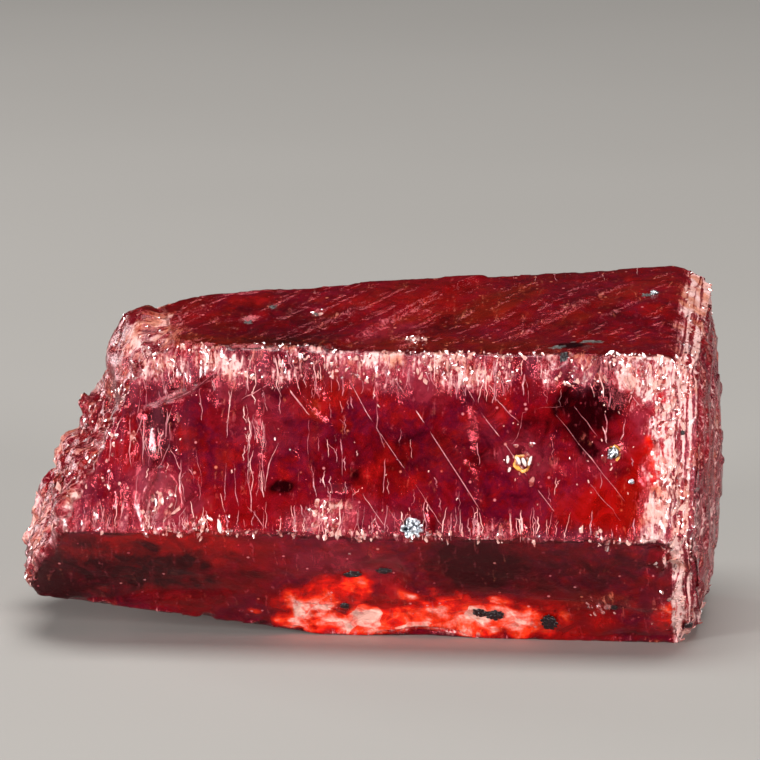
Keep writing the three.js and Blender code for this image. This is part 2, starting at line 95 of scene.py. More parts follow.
def new_material(name):
    """An empty node material."""
    material = bpy.data.materials.new(name)
    material.use_nodes = True
    material.node_tree.nodes.clear()
    return material


card = new_material("matt_card")
card_place = add(card, "TexCoord").outputs["Object"]
card_clouds = add(card, "TexNoise", {"Vector": card_place, "Scale": 1 / CARD_CLOUDS, "Detail": 2})
card_colour = add(card, "Mix", {
    "Factor": card_clouds.outputs["Fac"], 6: linear(CARD_COLOUR), 7: linear(CARD_SHADE),
}, data_type="RGBA")
card_shader = add(card, "BsdfPrincipled", {
    "Base Color": card_colour.outputs[2], "Roughness": 0.9, "Specular IOR Level": 0.2,
})
add(card, "OutputMaterial", {"Surface": card_shader.outputs[0]})

card_bm = bmesh.new()
bmesh.ops.create_grid(card_bm, x_segments=2, y_segments=2, size=CARD_SIZE / 2)
card_mesh = bpy.data.meshes.new("floor")
card_bm.to_mesh(card_mesh)
card_bm.free()
card_mesh.materials.append(card)
floor = bpy.data.objects.new("floor", card_mesh)
bpy.context.scene.collection.objects.link(floor)

# The light: two soft panels low in front, clear of where the front would mirror them, a wide one high
# above, a low one far round behind and a dim even room.
ROOM_COLOUR = "#8A8A90"
ROOM_STRENGTH = 0.1
# Each panel: place, what it points at and width, in millimetres, and watts.
PANELS = {
    "key": ((-80, -88, 17), (0, 0, 4), 30, 0.18),
    "fill": ((92, -76, 19), (2, 0, 4), 30, 0.15),
    "overhead": ((0, 0, 290), (0, 0, 4), 220, 0.93),
    "rear": ((-104, 60, 24), (0, 0, 4), 40, 0.06),
}

world = bpy.data.worlds.new("room")
world.use_nodes = True
world.node_tree.nodes["Background"].inputs["Color"].default_value = linear(ROOM_COLOUR)
world.node_tree.nodes["Background"].inputs["Strength"].default_value = ROOM_STRENGTH
bpy.context.scene.world = world
bpy.context.scene.view_settings.view_transform = "Standard"
for name, (place, aim, size, watts) in PANELS.items():
    panel_data = bpy.data.lights.new(name, "AREA")
    panel_data.shape = "SQUARE"
    panel_data.size = size * MM
    panel_data.energy = watts
    panel = bpy.data.objects.new(name, panel_data)
    panel.location = Vector(place) * MM
    panel.rotation_euler = (Vector(aim) - Vector(place)).to_track_quat("-Z", "Y").to_euler()
    bpy.context.scene.collection.objects.link(panel)

# The crystal: raw ruby, which is corundum, grown as one hexagonal prism, etched by the rock it grew in,
# parted into plates at one end and broken at the other. Clear deep red inside, frosted where it is etched.
RUBY_NODE = "ruby_crystal"
DRAWING_CENTRE = np.array([0.0377, 2.25, 0])
FACE_ANGLE = 60
FRONT_LEAN = 20
UNDER_WIDTH = 3.1
FRONT_WIDTH = 3.8
TOP_WIDTH = 5.5
BACK_UPPER_WIDTH = 3.0
BACK_LOWER_WIDTH = 5
TOP_WIDTH_AT_BREAK = 2.5
TOP_BREAK_X = -4.2
PLATED_END = 7.04
PLATES_START = 6.25
RISE_START = -0.9
RISE_ANGLE = 8
BREAK_LINES = [
    ((-3.95, -0.7, 5.97), (-4.15, 1.8, 6.4)),
    ((-4.02, -0.7, 5.8), (-4.67, 1.6, 6.17)),
    ((-5.3, -1.15, 3.5), (-6.34, 2.8, 3.41)),
    ((-5.95, -2, 2.2), (-7.13, 2.5, 1.45)),
    ((-6.55, -0.1, 0.85), (-6.75, 2.5, 0.6)),
]
FOOT_GIRTH = -8
PLATES_GIRTH = 40
BREAK_GIRTH = 60
SKIN_PITCH = 0.075


def turned(degrees):
    """The way across a prism face that looks out at this angle, from the front over the top."""
    angle = math.radians(degrees)
    return np.array([0, math.sin(angle), math.cos(angle)])


# The faces, as in the drawing: a corner, the way across, the way out, and how far round the crystal the
# corner is. The foot, the plates and the break are no part of that round and get girths clear of it.
FACES = {}
corner = np.zeros(3)
girth = 0
for name, facing, width in (
    ("under", FRONT_LEAN - FACE_ANGLE, UNDER_WIDTH),
    ("front", FRONT_LEAN, FRONT_WIDTH),
    ("top", FRONT_LEAN + FACE_ANGLE, TOP_WIDTH),
    ("back_upper", FRONT_LEAN + 2 * FACE_ANGLE, BACK_UPPER_WIDTH),
    ("back_lower", FRONT_LEAN + 180, BACK_LOWER_WIDTH),
):
    across = turned(facing)
    FACES[name] = [corner, across, np.array([0, -across[2], across[1]]), girth]
    corner = corner + across * width
    girth += width
top_corner, top_across = FACES["top"][:2]
drawn_from = top_corner + top_across * TOP_WIDTH_AT_BREAK + [TOP_BREAK_X, 0, 0]
drawn_to = top_corner + top_across * TOP_WIDTH + [PLATED_END, 0, 0]
drawn_out = np.cross(drawn_to - drawn_from, FACES["back_upper"][1])
FACES["back_upper"][0] = drawn_from
FACES["back_upper"][2] = drawn_out / np.linalg.norm(drawn_out)
rise = math.radians(RISE_ANGLE)
FACES["base"] = [np.zeros(3), np.array([0, 1, 0]), np.array([0, 0, -1]), FOOT_GIRTH]
FACES["rise"] = [
    np.array([RISE_START, 0, 0]), np.array([0, 1, 0]), np.array([-math.sin(rise), 0, -math.cos(rise)]),
    FOOT_GIRTH,
]
FACES["plates"] = [np.array([PLATED_END, 0, 0]), np.array([0, 1, 0]), np.array([1, 0, 0]), PLATES_GIRTH]
for i, (high, low) in enumerate(zip(BREAK_LINES, BREAK_LINES[1:])):
    down = np.subtract(low[1], high[1])
    forward = np.subtract(low[0], low[1])
    out = np.cross(down, forward)
    out *= -np.sign(out[0]) / np.linalg.norm(out)
    FACES[f"break_{i}"] = [np.array(low[1]), np.array([0, 0, 1]), out, BREAK_GIRTH]

# The skin starts as the drawing's solid, remade as an even net of small faces that lie on it.
solid = bmesh.new()
solid.from_mesh(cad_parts[RUBY_NODE].data)
bmesh.ops.scale(solid, vec=(1 / MM,) * 3, verts=solid.verts)
bmesh.ops.remove_doubles(solid, verts=solid.verts, dist=1e-5)
bmesh.ops.recalc_face_normals(solid, faces=solid.faces)
solid_tree = BVHTree.FromBMesh(solid)
net_mesh = bpy.data.meshes.new("ruby")
solid.to_mesh(net_mesh)
solid.free()
ruby = bpy.data.objects.new("ruby", net_mesh)
bpy.context.scene.collection.objects.link(ruby)
remesh = ruby.modifiers.new("net", "REMESH")
remesh.mode = "VOXEL"
remesh.voxel_size = SKIN_PITCH
evaluated = ruby.evaluated_get(bpy.context.evaluated_depsgraph_get())
skin = bpy.data.meshes.new_from_object(evaluated)
ruby.modifiers.clear()
ruby.data = skin
bpy.data.meshes.remove(net_mesh)
skin.name = "ruby"

points = np.empty(len(skin.vertices) * 3)
skin.vertices.foreach_get("co", points)
points = points.reshape(-1, 3)
nearest = [solid_tree.find_nearest(Vector(p)) for p in points]
points = np.array([n[0] for n in nearest])


def smooth(low, high, value):
    """0 at low and 1 at high, with a soft start and end."""
    share = np.clip((value - low) / (high - low), 0, 1)
    return share * share * (3 - 2 * share)


def cloud(where, sizes, seed):
    """Soft noise from about -1 to 1, with lumps of these sizes in millimetres."""
    return np.array([noise.noise(Vector(p)) for p in where / np.array(sizes) + seed * 7.31])


def cells(where, sizes, seed):
    """How far each place is from the wall of its cell, 0 at the wall and about 1 in the middle."""
    found = [noise.voronoi(Vector(p))[0] for p in where / np.array(sizes) + seed * 7.31]
    return np.array([f[1] - f[0] for f in found])


# Where each point of the skin is: which face it belongs to, with a soft border, how near it is to an edge,
# and its place on the skin unrolled round the crystal.
BORDER = 0.12
END_SPREAD = 4.6
drawn = points + DRAWING_CENTRE
names = list(FACES)
depth = np.array([(drawn - FACES[n][0]) @ FACES[n][2] for n in names])
ranked = np.sort(depth, axis=0)
edge = ranked[-1] - ranked[-2]
belongs = {
    n: smooth(-BORDER, BORDER, depth[i] - np.max(np.delete(depth, i, axis=0), axis=0))
    for i, n in enumerate(names)
}
rubble = sum(belongs[n] for n in names if n.startswith("break"))
nearest_face = np.argmax(depth, axis=0)
round_it = np.zeros(len(points))
for i, n in enumerate(names):
    own = nearest_face == i
    round_it[own] = FACES[n][3] + (drawn[own] - FACES[n][0]) @ FACES[n][1]
x = drawn[:, 0]
unrolled = np.column_stack([x, round_it, -ranked[-1]])
on_end = nearest_face == names.index("plates")
on_break = nearest_face > names.index("plates")
unrolled[on_end, 0] = drawn[on_end, 2]
unrolled[on_end, 1] = drawn[on_end, 1] * END_SPREAD
unrolled[on_break, 0] = drawn[on_break, 1]
up = round_it - FACES["front"][3]
top_up = round_it - FACES["top"][3]

# The skin softens a little everywhere, and more on the break, whose stones are rounded by wear. The
# shoulder over the break is one full bulge, the break below it is full too, and the far edge of the top
# swells a little.
SOFTENING = 1
BREAK_SOFTENING = 9
FRONT_SOFTENING = 2
SHOULDER = np.array([-4.85, 1.2, 5.6])
SHOULDER_REACH = 1.3
SHOULDER_SOFTENING = 4
SHOULDER_FULLNESS = 0.42
SOFT_GROUND = (0.7, 2.9)
BREAK_FULLNESS = 0.26
CROWN_HEIGHT = 0.2
skin.vertices.foreach_set("co", points.ravel())
soft = bmesh.new()
soft.from_mesh(skin)
soft.verts.ensure_lookup_table()
from_shoulder = np.linalg.norm(drawn - SHOULDER, axis=1)
for passes, wanted in (
    (SOFTENING, np.ones(len(points), bool)),
    (BREAK_SOFTENING, rubble > 0.5),
    (FRONT_SOFTENING, (belongs["front"] > 0.5) & (up > SOFT_GROUND[0]) & (up < SOFT_GROUND[1])),
    (SHOULDER_SOFTENING, (from_shoulder < SHOULDER_REACH) & (rubble > 0.4)),
):
    chosen = [soft.verts[i] for i in np.flatnonzero(wanted)]
    for _ in range(passes):
        bmesh.ops.smooth_vert(
            soft, verts=chosen, factor=0.5, use_axis_x=True, use_axis_y=True, use_axis_z=True,
        )
soft.to_mesh(skin)
soft.free()
skin.vertices.foreach_get("co", points.reshape(-1))
points[:, 2] = np.maximum(points[:, 2], 0)
rounded = np.empty(len(skin.vertices) * 3)
skin.update()
skin.vertices.foreach_get("normal", rounded)
rounded = rounded.reshape(-1, 3)
swollen = SHOULDER_FULLNESS * smooth(SHOULDER_REACH, 0.2, from_shoulder)
swollen += BREAK_FULLNESS * smooth(0.5, 1.8, drawn[:, 2]) * smooth(3.9, 3.1, drawn[:, 2])
points += rounded * (rubble * swollen)[:, None]
points[:, 2] += CROWN_HEIGHT * (smooth(-4.6, -3.2, drawn[:, 0]) * smooth(6.8, 5.8, drawn[:, 0])
                                * smooth(0.2, 2.4, drawn[:, 1]) * smooth(4.0, 5.8, drawn[:, 2]))

# Four noises break everything up, from grains to a third of the crystal.
fine = cloud(drawn, (0.16, 0.16, 0.16), 21)
ragged = cloud(drawn, (0.4, 0.4, 0.4), 20)
patchy = cloud(drawn, (1.3, 1.3, 1.3), 1)
broad = cloud(drawn, (2.6, 2.6, 2.6), 22)


def patch(face, x0, up0, long, wide, slant=0, soft=0.55):
    """1 inside a slanted oval in a face, falling to 0 outside it, with a ragged rim."""
    turn = math.radians(slant)
    a, b = x - x0, round_it - FACES[face][3] - up0
    length = (a * math.cos(turn) + b * math.sin(turn)) / long
    width = (b * math.cos(turn) - a * math.sin(turn)) / wide
    return belongs[face] * smooth(1 + soft, 1 - soft, np.hypot(length, width) + 0.5 * ragged + 0.2 * fine)


# Etching: upright lens-shaped pits with thin walls between them. They crowd along both edges of the front
# and towards the break, and are shallow in between.
PIT_SIZE = (0.27, 1.05, 1.2)
PIT_DEPTH = 0.09
GROUND_DEPTH = 0.02
top_band = smooth(2.75, 3.5, up + 0.35 * ragged + 0.3 * patchy)
low_band = smooth(0.55, 0.1, up + 0.35 * cloud(drawn, (0.25, 2, 2), 3))
broken_side = smooth(-2.4, -4.2, x + 1.2 * patchy)
plate_side = smooth(5.7, 6.1, x + 0.5 * ragged)
etch = np.clip(top_band * 0.9 + low_band * 0.5 + broken_side * 0.45 + plate_side * 0.8, 0, 1)
etch *= belongs["front"]
pits = smooth(0.04, 0.5, cells(unrolled, PIT_SIZE, 5))
ground = 1 + cloud(unrolled, (0.5, 1.2, 1), 23)
moved = belongs["front"] * (etch * pits * PIT_DEPTH + GROUND_DEPTH * ground)

# A round shallow dish near the break, with a lip.
DISH_PLACE = (-3.71, 0.72)
DISH_HALF_SIZE = (0.36, 0.5)
DISH_DEPTH = 0.13
LIP_HEIGHT = 0.05
from_dish = np.hypot((x - DISH_PLACE[0]) / DISH_HALF_SIZE[0], (up - DISH_PLACE[1]) / DISH_HALF_SIZE[1])
from_dish += 0.12 * ragged
lip = smooth(0.3, 0, np.abs(from_dish - 1.1))
moved += belongs["front"] * (DISH_DEPTH * smooth(1.0, 0.35, from_dish) - LIP_HEIGHT * lip)

# The other prism faces: long shallow undulations, weaker pits, and on the top slanting growth lines, which
# run 55 degrees off the crystal's length.
LINES_ALONG, LINES_ACROSS = 0.57, 0.82
swell = cloud(unrolled, (1.6, 0.9, 1), 6) + 0.5 * cloud(unrolled, (0.6, 0.35, 1), 7)
lines = cloud(np.column_stack([
    x * LINES_ALONG + top_up * LINES_ACROSS, x * LINES_ACROSS - top_up * LINES_ALONG, x * 0,
]), (0.9, 0.12, 1), 8)
moved += belongs["top"] * (0.022 * (1 + swell) + 0.012 * (1 + lines))
moved += belongs["under"] * (0.03 * (1 + swell) + 0.015 * (1 + ragged))
back = belongs["back_upper"] + belongs["back_lower"]
moved += back * (0.022 * pits * smooth(-0.2, 0.5, patchy) + 0.025 * (1 + swell))

# The break: rubble of all sizes, with gaps between the stones.
STONE_SIZE, STONE_GAP = 0.55, 0.08
GRAVEL_SIZE, GRAVEL_GAP = 0.25, 0.045
stones = cells(drawn, (STONE_SIZE,) * 3, 10)
gravel = cells(drawn, (GRAVEL_SIZE,) * 3, 11)
moved += rubble * (STONE_GAP * (1 - smooth(0, 0.4, stones)) + GRAVEL_GAP * (1 - smooth(0, 0.4, gravel))
                   + 0.02 * (1 + fine))

# The plates: thin leaves across the crystal, each edge a little in or out of line, and low six-sided
# growth rings on the end face.
LEAF_SIZE = 0.085
LEAF_DEPTH = 0.055
END_MIDDLE = np.array([2.1, 3.3])
RING_STEP = 0.55
RING_HEIGHT = 0.045
leaf_wave = x + 0.05 * cloud(drawn, (1.5, 1.1, 1.1), 13)
leaves = cloud(np.column_stack([leaf_wave, drawn[:, 1] * 0.12, drawn[:, 2] * 0.12]), (LEAF_SIZE, 1, 1), 14)
in_plates = smooth(PLATES_START - 0.15, PLATES_START + 0.1, x + 0.15 * ragged) * (1 - belongs["plates"])
moved += in_plates * (LEAF_DEPTH * (1 + leaves) + 0.03 * (1 + ragged))
terraces = cells(drawn, (9, 0.9, 0.9), 17)
from_middle = drawn[:, 1:] - END_MIDDLE
corners = (FRONT_LEAN, FRONT_LEAN + FACE_ANGLE, FRONT_LEAN + 2 * FACE_ANGLE)
six_sided = np.max([np.abs(from_middle @ turned(angle)[1:]) for angle in corners], axis=0)
ring_place = six_sided / RING_STEP + 0.5 * patchy + 0.15 * ragged
rings = np.floor(ring_place)
ring_rims = smooth(0.2, 0, ring_place - rings)
moved += belongs["plates"] * (0.04 * (1 - smooth(0, 0.4, terraces)) + 0.02 * (1 + ragged)
                              + RING_HEIGHT * rings)

# Every edge is a little chipped.
CHIP_DEPTH = 0.08
chipped = smooth(0.14, 0.0, edge) * smooth(-0.1, 0.5, cloud(drawn, (0.32, 0.32, 0.32), 19))
moved += CHIP_DEPTH * chipped

# The shoulder is worn smooth, and the foot that the crystal lies on stays level.
SHOULDER_WEAR = 0.75
moved *= 1 - SHOULDER_WEAR * smooth(SHOULDER_REACH, 0.5, from_shoulder)
moved *= smooth(0.02, 0.12, points[:, 2])
placed = points - rounded * moved[:, None]

# What the surface and the stone under it look like, place by place, from 0 to 1. Frost scatters light and is
# pinkish white, and on and before the plated end it is made brighter as a painted highlight too; haze is a
# mauve cloud inside; fire is bright clear red, and on the under face it is painted glow; warm is an
# orange-brown stain; glow is painted light, bright colour where light wells up through the lower front; and
# dark is depth, and on the under face also painted shade. Each patch is: face, along the crystal, up the
# face, half-length, half-width, slant and share.
PATCHES = {
    "frost": [
        ("front", -0.38, 0.45, 0.7, 0.3, 10, 0.45), ("front", -3.68, 0.6, 0.5, 0.35, -60, 0.25),
        ("front", 0.6, 3.6, 1.0, 0.22, 0, 0.35), ("front", 2.21, 3.4, 0.9, 0.45, -20, 0.4),
        ("front", 5.51, 3.3, 0.7, 0.7, -55, 0.45), ("front", 5.96, 0.9, 0.25, 0.9, -12, 0.5),
        ("front", -2.59, 3.45, 0.45, 0.2, 0, 0.7), ("front", -3.89, 3.3, 0.3, 0.25, 0, 0.5),
        ("front", 2.93, 0.2, 0.3, 0.25, 0, 0.5), ("front", 3.22, 1.75, 0.5, 0.35, 0, 0.16),
        ("under", 4.91, 1.2, 0.55, 0.3, 20, 0.4), ("under", 6.18, 0.9, 0.35, 0.5, 0, 0.4),
        ("under", -0.61, 1.0, 0.8, 0.4, 0, 0.3), ("under", 1.75, 0.3, 1.2, 0.2, 0, 0.3),
        ("top", 0.95, 0.8, 0.3, 0.3, 0, 0.3), ("top", -2.6, 2.9, 0.6, 0.25, 0, 0.4),
        ("top", -0.6, 1.6, 1.3, 0.25, 52, 0.25), ("top", 3.9, 2.3, 1.5, 0.16, 52, 0.35),
        ("top", 1.0, 4.2, 2.4, 0.2, 4, 0.25), ("under", 0.9, 0.06, 1.3, 0.1, 0, 0.5),
        ("back_lower", -1.5, 3.3, 1.8, 0.4, 6, 0.45), ("back_lower", 4.2, 0.7, 1.3, 0.4, -8, 0.45),
        ("back_upper", 1.0, 0.3, 2.5, 0.3, 0, 0.35), ("back_lower", 0.8, 2.2, 1.0, 0.25, 35, 0.4),
    ],
    "haze": [
        ("front", 0.31, 3.4, 0.8, 0.35, 0, 0.9), ("front", 2.65, 2.4, 0.45, 0.7, 0, 0.6),
        ("front", 1.32, 3.1, 0.6, 0.4, -20, 0.6), ("front", -1.65, 2.3, 0.9, 0.7, 0, 0.5),
        ("front", -3.68, 0.65, 0.75, 0.6, 0, 0.9), ("front", -0.38, 0.45, 0.9, 0.4, 0, 0.8),
        ("front", -2.27, 3.0, 0.6, 0.5, 0, 0.6), ("front", 4.43, 3.55, 0.5, 0.45, 0, 0.9),
        ("front", 5.75, 2.5, 0.35, 0.6, 0, 0.5), ("front", 3.37, 1.75, 0.55, 0.5, 0, 0.7),
        ("front", 4.88, 1.7, 0.5, 0.5, -50, 0.4), ("front", 4.01, 0.7, 0.9, 0.4, 0, 0.3),
        ("under", -0.03, 2.1, 1.1, 0.9, 0, 0.8), ("under", 2.07, 0.7, 1.6, 0.6, 0, 0.6),
        ("under", 6.08, 0.9, 0.5, 0.6, 0, 0.8), ("top", 0.6, 1.3, 1.2, 0.4, 55, 0.5),
        ("back_lower", 2.5, 2.0, 1.2, 0.8, 40, 0.7), ("back_upper", -1.0, 1.5, 1.4, 0.7, 30, 0.5),
    ],
    # The fire patches on the under face are painted glow: bright red where light wells up through the stone.
    "fire": [
        ("front", -1.69, 0.7, 1.0, 0.55, 0, 0.45), ("front", 5.75, 1.1, 0.4, 0.8, -10, 0.8),
        ("front", 5.21, 0.7, 0.8, 0.5, 0, 0.8), ("front", -4.52, 1.6, 0.4, 0.4, 0, 0.7),
        ("front", 3.83, 2.9, 0.6, 0.5, 0, 0.5), ("front", 5.32, 3.1, 0.3, 0.35, 0, 0.8),
        ("front", 1.01, 0.9, 0.8, 0.6, 0, 0.4), ("front", -0.67, 3.0, 0.6, 0.35, 0, 0.6),
        ("under", -4.2, 2.75, 1.9, 0.3, 0, 0.5), ("under", -0.32, 0.9, 1.4, 0.8, 0, 0.9),
        ("under", 2.48, 0.8, 1.9, 0.6, 0, 1.0), ("under", 0.56, 1.9, 0.5, 0.5, 0, 0.6),
        ("back_lower", 0.0, 1.2, 1.5, 0.7, 20, 0.9), ("back_upper", 3.5, 1.6, 1.2, 0.6, -30, 0.6),
        ("back_lower", 4.8, 2.6, 0.9, 0.6, 0, 0.7),
    ],
    "warm": [
        ("front", -0.18, 3.05, 0.5, 0.4, 0, 0.4), ("front", -0.87, 2.8, 0.15, 0.7, 20, 0.4),
        ("front", -2.52, 1.6, 0.15, 0.7, 0, 0.45), ("front", -0.73, 1.9, 0.12, 0.9, 0, 0.4),
        ("front", 1.88, 1.7, 0.5, 0.7, -50, 0.4), ("front", 5.71, 0.8, 0.4, 0.5, 0, 0.5),
        ("under", 2.15, 0.4, 1.0, 0.3, 0, 0.7), ("under", 4.71, 1.3, 0.7, 0.35, 0, 0.7),
        ("top", -2.6, 0.25, 2.0, 0.35, 0, 1.0), ("top", 2.0, 0.5, 2.5, 0.4, 0, 0.6),
        ("top", 2.6, 2.6, 1.5, 0.4, 55, 0.7), ("top", 4.4, 2.3, 1.6, 0.3, 55, 0.6),
    ],
    # Glow patches are painted light, where light wells up through the lower front and the under face.
    "glow": [
        ("under", 0.6, 0.3, 1.9, 0.5, 0, 1.0), ("under", -0.6, 1.15, 1.0, 0.55, 25, 0.85),
        ("under", 2.2, 0.7, 1.2, 0.55, -12, 0.85), ("under", 3.5, 0.5, 0.7, 0.4, 0, 0.6),
        ("under", 6.2, 0.75, 0.35, 0.45, 0, 0.3), ("front", 6.0, 1.9, 0.22, 0.8, 0, 0.4),
    ],
    # The dark patches on the under face are painted shade, where that face looks down away from the light;
    # the others are depth in the stone.
    "dark": [
        ("front", 4.74, 2.7, 0.7, 0.85, 0, 0.95), ("front", 0.98, 1.7, 0.9, 0.8, -50, 0.6),
        ("front", -1.3, 0.98, 0.3, 0.18, 0, 1.0), ("front", -3.78, 1.95, 0.35, 0.65, 0, 0.8),
        ("front", -0.21, 1.3, 0.5, 0.6, 0, 0.5), ("front", 3.57, 1.9, 1.0, 0.5, 0, 0.4),
        ("under", -4.6, 1.9, 2.4, 0.9, 0, 0.55), ("under", 3.8, 2.2, 2.2, 0.7, 0, 0.4),
        ("top", -1.9, 1.4, 1.6, 0.9, 0, 0.5), ("top", 4.2, 0.6, 0.35, 0.15, 10, 1.0),
        ("top", 1.6, 1.5, 0.8, 0.4, 55, 0.5),
    ],
}
chips_along = smooth(0.03 + 0.24 * np.clip(0.3 + patchy + ragged, 0, 1), 0, edge)
looks = {
    # On and before the plated end the frost is real and also brightened as a painted highlight.
    "frost": belongs["front"] * (
        top_band * (0.32 + 0.38 * smooth(-0.2, 0.4, ragged)) + plate_side * (0.78 + 0.35 * ragged)
        + low_band * 0.25 + broken_side * 0.18
    )
    + in_plates * 0.95 + belongs["plates"] * (0.5 + 0.35 * patchy + 0.45 * ring_rims)
    + rubble * (0.36 + 0.25 * patchy) + belongs["top"] * 0.3 * smooth(0.05, 0.5, lines + 0.3 * patchy)
    + back * (0.1 + 0.35 * patchy + 0.45 * smooth(0.9, 0.05, edge + 0.45 * ragged))
    + 0.45 * chips_along + 0.12 * fine + 0.1 * ragged - 0.1,
    "haze": belongs["front"] * (0.1 + 0.35 * patchy + 0.3 * broken_side)
    + belongs["top"] * (0.12 + 0.35 * patchy) + rubble * 0.1 + in_plates * 0.5 + belongs["plates"] * 0.5
    + back * (0.15 + 0.4 * patchy),
    "fire": smooth(0.1, 0.5, broad) * (1 - rubble) * (0.6 - 0.35 * belongs["top"])
    + 0.4 * belongs["top"] + 0.45 * rubble,
    "glow": 0 * x,
    "warm": belongs["top"] * (0.2 + 0.6 * ragged + 0.3 * broad) + rubble * (0.3 + 0.5 * ragged)
    + 0.3 * smooth(0.1, 0.5, ragged) * in_plates,
    # Dark on the under face is painted shade; elsewhere it is depth that varies at random.
    "dark": smooth(0.1, 0.6, -broad) * 0.6 + belongs["top"] * (0.02 + 0.3 * ragged)
    + belongs["under"] * 0.3,
    "etch": etch + back * (0.1 + 0.4 * smooth(0.8, 0.1, edge + 0.4 * ragged)) + 0.25 * rubble,
    "leaf": in_plates,
}
for name, places in PATCHES.items():
    for *where, amount in places:
        looks[name] = looks[name] + amount * patch(*where)
for name, values in looks.items():
    layer = skin.attributes.new(name, "FLOAT", "POINT")
    layer.data.foreach_set("value", np.clip(values, 0, 1).astype(np.float32))
layer = skin.attributes.new("unrolled", "FLOAT_VECTOR", "POINT")
layer.data.foreach_set("vector", unrolled.astype(np.float32).ravel())
skin.vertices.foreach_set("co", (placed * MM).ravel())
skin.update()
skin.shade_smooth()

# Ruby is clear, red from chromium, with strong surface reflections. Clear patches show the depth of the
# stone, and frost, threads and clouds inside it scatter pink. Reflections off the etched skin are tinted,
# because part of their light has passed through the red. Pattern sizes are in millimetres.
RUBY_IOR = 1.77
RUBY_TINT = (0.9, 0.03, 0.09, 1)
RUBY_DEPTH = 700
RUBY_SHEEN = (1, 0.16, 0.2, 1)
CLOUD_SIZE = 1.2
CLOUD_COLOURS = (0.32, "#48020C"), (0.42, "#8A0814"), (0.5, "#6A0A26"), (0.6, "#9C0E12"), (0.68, "#C01818")
VEIL_SIZE = 0.45
FACET_SIZE = 0.5
LIT_SIZE = 0.55
GLOW_COLOURS = (0.66, "#9C0A08"), (0.76, "#D81408"), (0.84, "#FF3E18"), (0.92, "#FF7C6C"), (1.0, "#FFC4B4")
STREAK_SIZE = (0.3, 1.6)
STREAK_COLOUR = "#9A4254"
COMB_SIZE = (0.12, 0.55)
THREAD_BREAKS_PER_MM = 1.4
FROST_GRAIN = 0.1
LEAF_LINE_SIZE = (0.09, 3.0)
GLINT_SPACING = 0.22
FROST_COLOURS = (0.3, "#8A1A28"), (0.65, "#A85058"), (1.0, "#F2C4BE")
STAIN_SIZE = 0.5
STAIN_COLOUR = "#C87048"
CRUMBLE_SIZE = 0.2


def colour_stops(ramp_node, stops):
    """Sets a ramp's colours, each a position and a hex colour, from the first position to the last."""
    elements = ramp_node.color_ramp.elements
    first, *between, last = stops
    for element, (position, colour) in zip(elements, (first, last)):
        element.position = position
        element.color = linear(colour)
    for position, colour in between:
        elements.new(position).color = linear(colour)


raw_ruby = new_material("raw_ruby")
solid_place = add(raw_ruby, "TexCoord").outputs["Object"]
skin_place = add(raw_ruby, "Attribute", attribute_name="unrolled").outputs["Vector"]
share = {n: add(raw_ruby, "Attribute", attribute_name=n).outputs["Fac"] for n in looks}

# Clouds of colour inside, 1 to 2 mm across, broken up by veils and healed cracks of about 0.5 mm. Each look
# has a colour, and a number for how much the veils break it up. The glow colour is painted light, and the
# dark colour is painted shade where it lies on the under face.
INSIDE_COLOURS = {
    "fire": ("#B80E0A", -0.6), "haze": ("#84202E", 1.0), "warm": ("#8E1E10", 1.1), "dark": ("#260004", -0.6),
    "glow": ("#F23A28", 0.5),
}
cloud_noise = add(raw_ruby, "TexNoise", {
    "Vector": solid_place, "Scale": 1 / (CLOUD_SIZE * MM), "Detail": 5, "Roughness": 0.7,
})
cloud_colour = add(raw_ruby, "ValToRGB", {"Fac": cloud_noise.outputs["Fac"]})
colour_stops(cloud_colour, CLOUD_COLOURS)
veils = add(raw_ruby, "TexNoise", {
    "Vector": solid_place, "Scale": 1 / (VEIL_SIZE * MM), "Detail": 5, "Roughness": 0.68,
    "Distortion": 1.2,
})
veil_swing = add(raw_ruby, "MapRange", {"Value": veils.outputs["Fac"], 1: 0.35, 2: 0.65, 3: -0.3, 4: 0.3})
inside = cloud_colour.outputs["Color"]
for name, (colour, swing) in INSIDE_COLOURS.items():
    mottled = add(raw_ruby, "Math", {0: veil_swing.outputs[0], 1: swing, 2: share[name]},
                  operation="MULTIPLY_ADD")
    kept = add(raw_ruby, "Math", {0: mottled.outputs[0], 1: share[name]},
               operation="MULTIPLY", use_clamp=True)
    kept = add(raw_ruby, "Math", {0: kept.outputs[0], 1: 1.3}, operation="MULTIPLY", use_clamp=True)
    inside = add(raw_ruby, "Mix", {"Factor": kept.outputs[0], 6: inside, 7: linear(colour)},
                 data_type="RGBA").outputs[2]

# The glow, painted light: bright colour for light welling up through the lower front, on facets of cracks
# about 0.5 mm wide inside, from deep red at its rim over orange to pale pink.
facets = add(raw_ruby, "TexVoronoi", {
    "Vector": solid_place, "Scale": 1 / (FACET_SIZE * MM), "Randomness": 1,
})
lit_noise = add(raw_ruby, "TexNoise", {
    "Vector": solid_place, "Scale": 1 / (LIT_SIZE * MM), "Detail": 5, "Roughness": 0.6,
    "Distortion": 0.25,
})
facet_tone = add(raw_ruby, "Math", {0: facets.outputs["Color"], 1: 0.22, 2: lit_noise.outputs["Fac"]},
                 operation="MULTIPLY_ADD")
glow_tone = add(raw_ruby, "Math", {0: share["glow"], 1: 0.3, 2: facet_tone.outputs[0]},
                operation="MULTIPLY_ADD")
painted_glow_ramp = add(raw_ruby, "ValToRGB", {"Fac": glow_tone.outputs[0]})
colour_stops(painted_glow_ramp, GLOW_COLOURS)
painted_glow_share = add(raw_ruby, "MapRange", {"Value": share["glow"], 1: 0.02, 2: 0.3, 3: 0, 4: 0.95})
inside = add(raw_ruby, "Mix", {"Factor": painted_glow_share.outputs[0], 6: inside, 7: painted_glow_ramp.outputs[0]},
             data_type="RGBA").outputs[2]
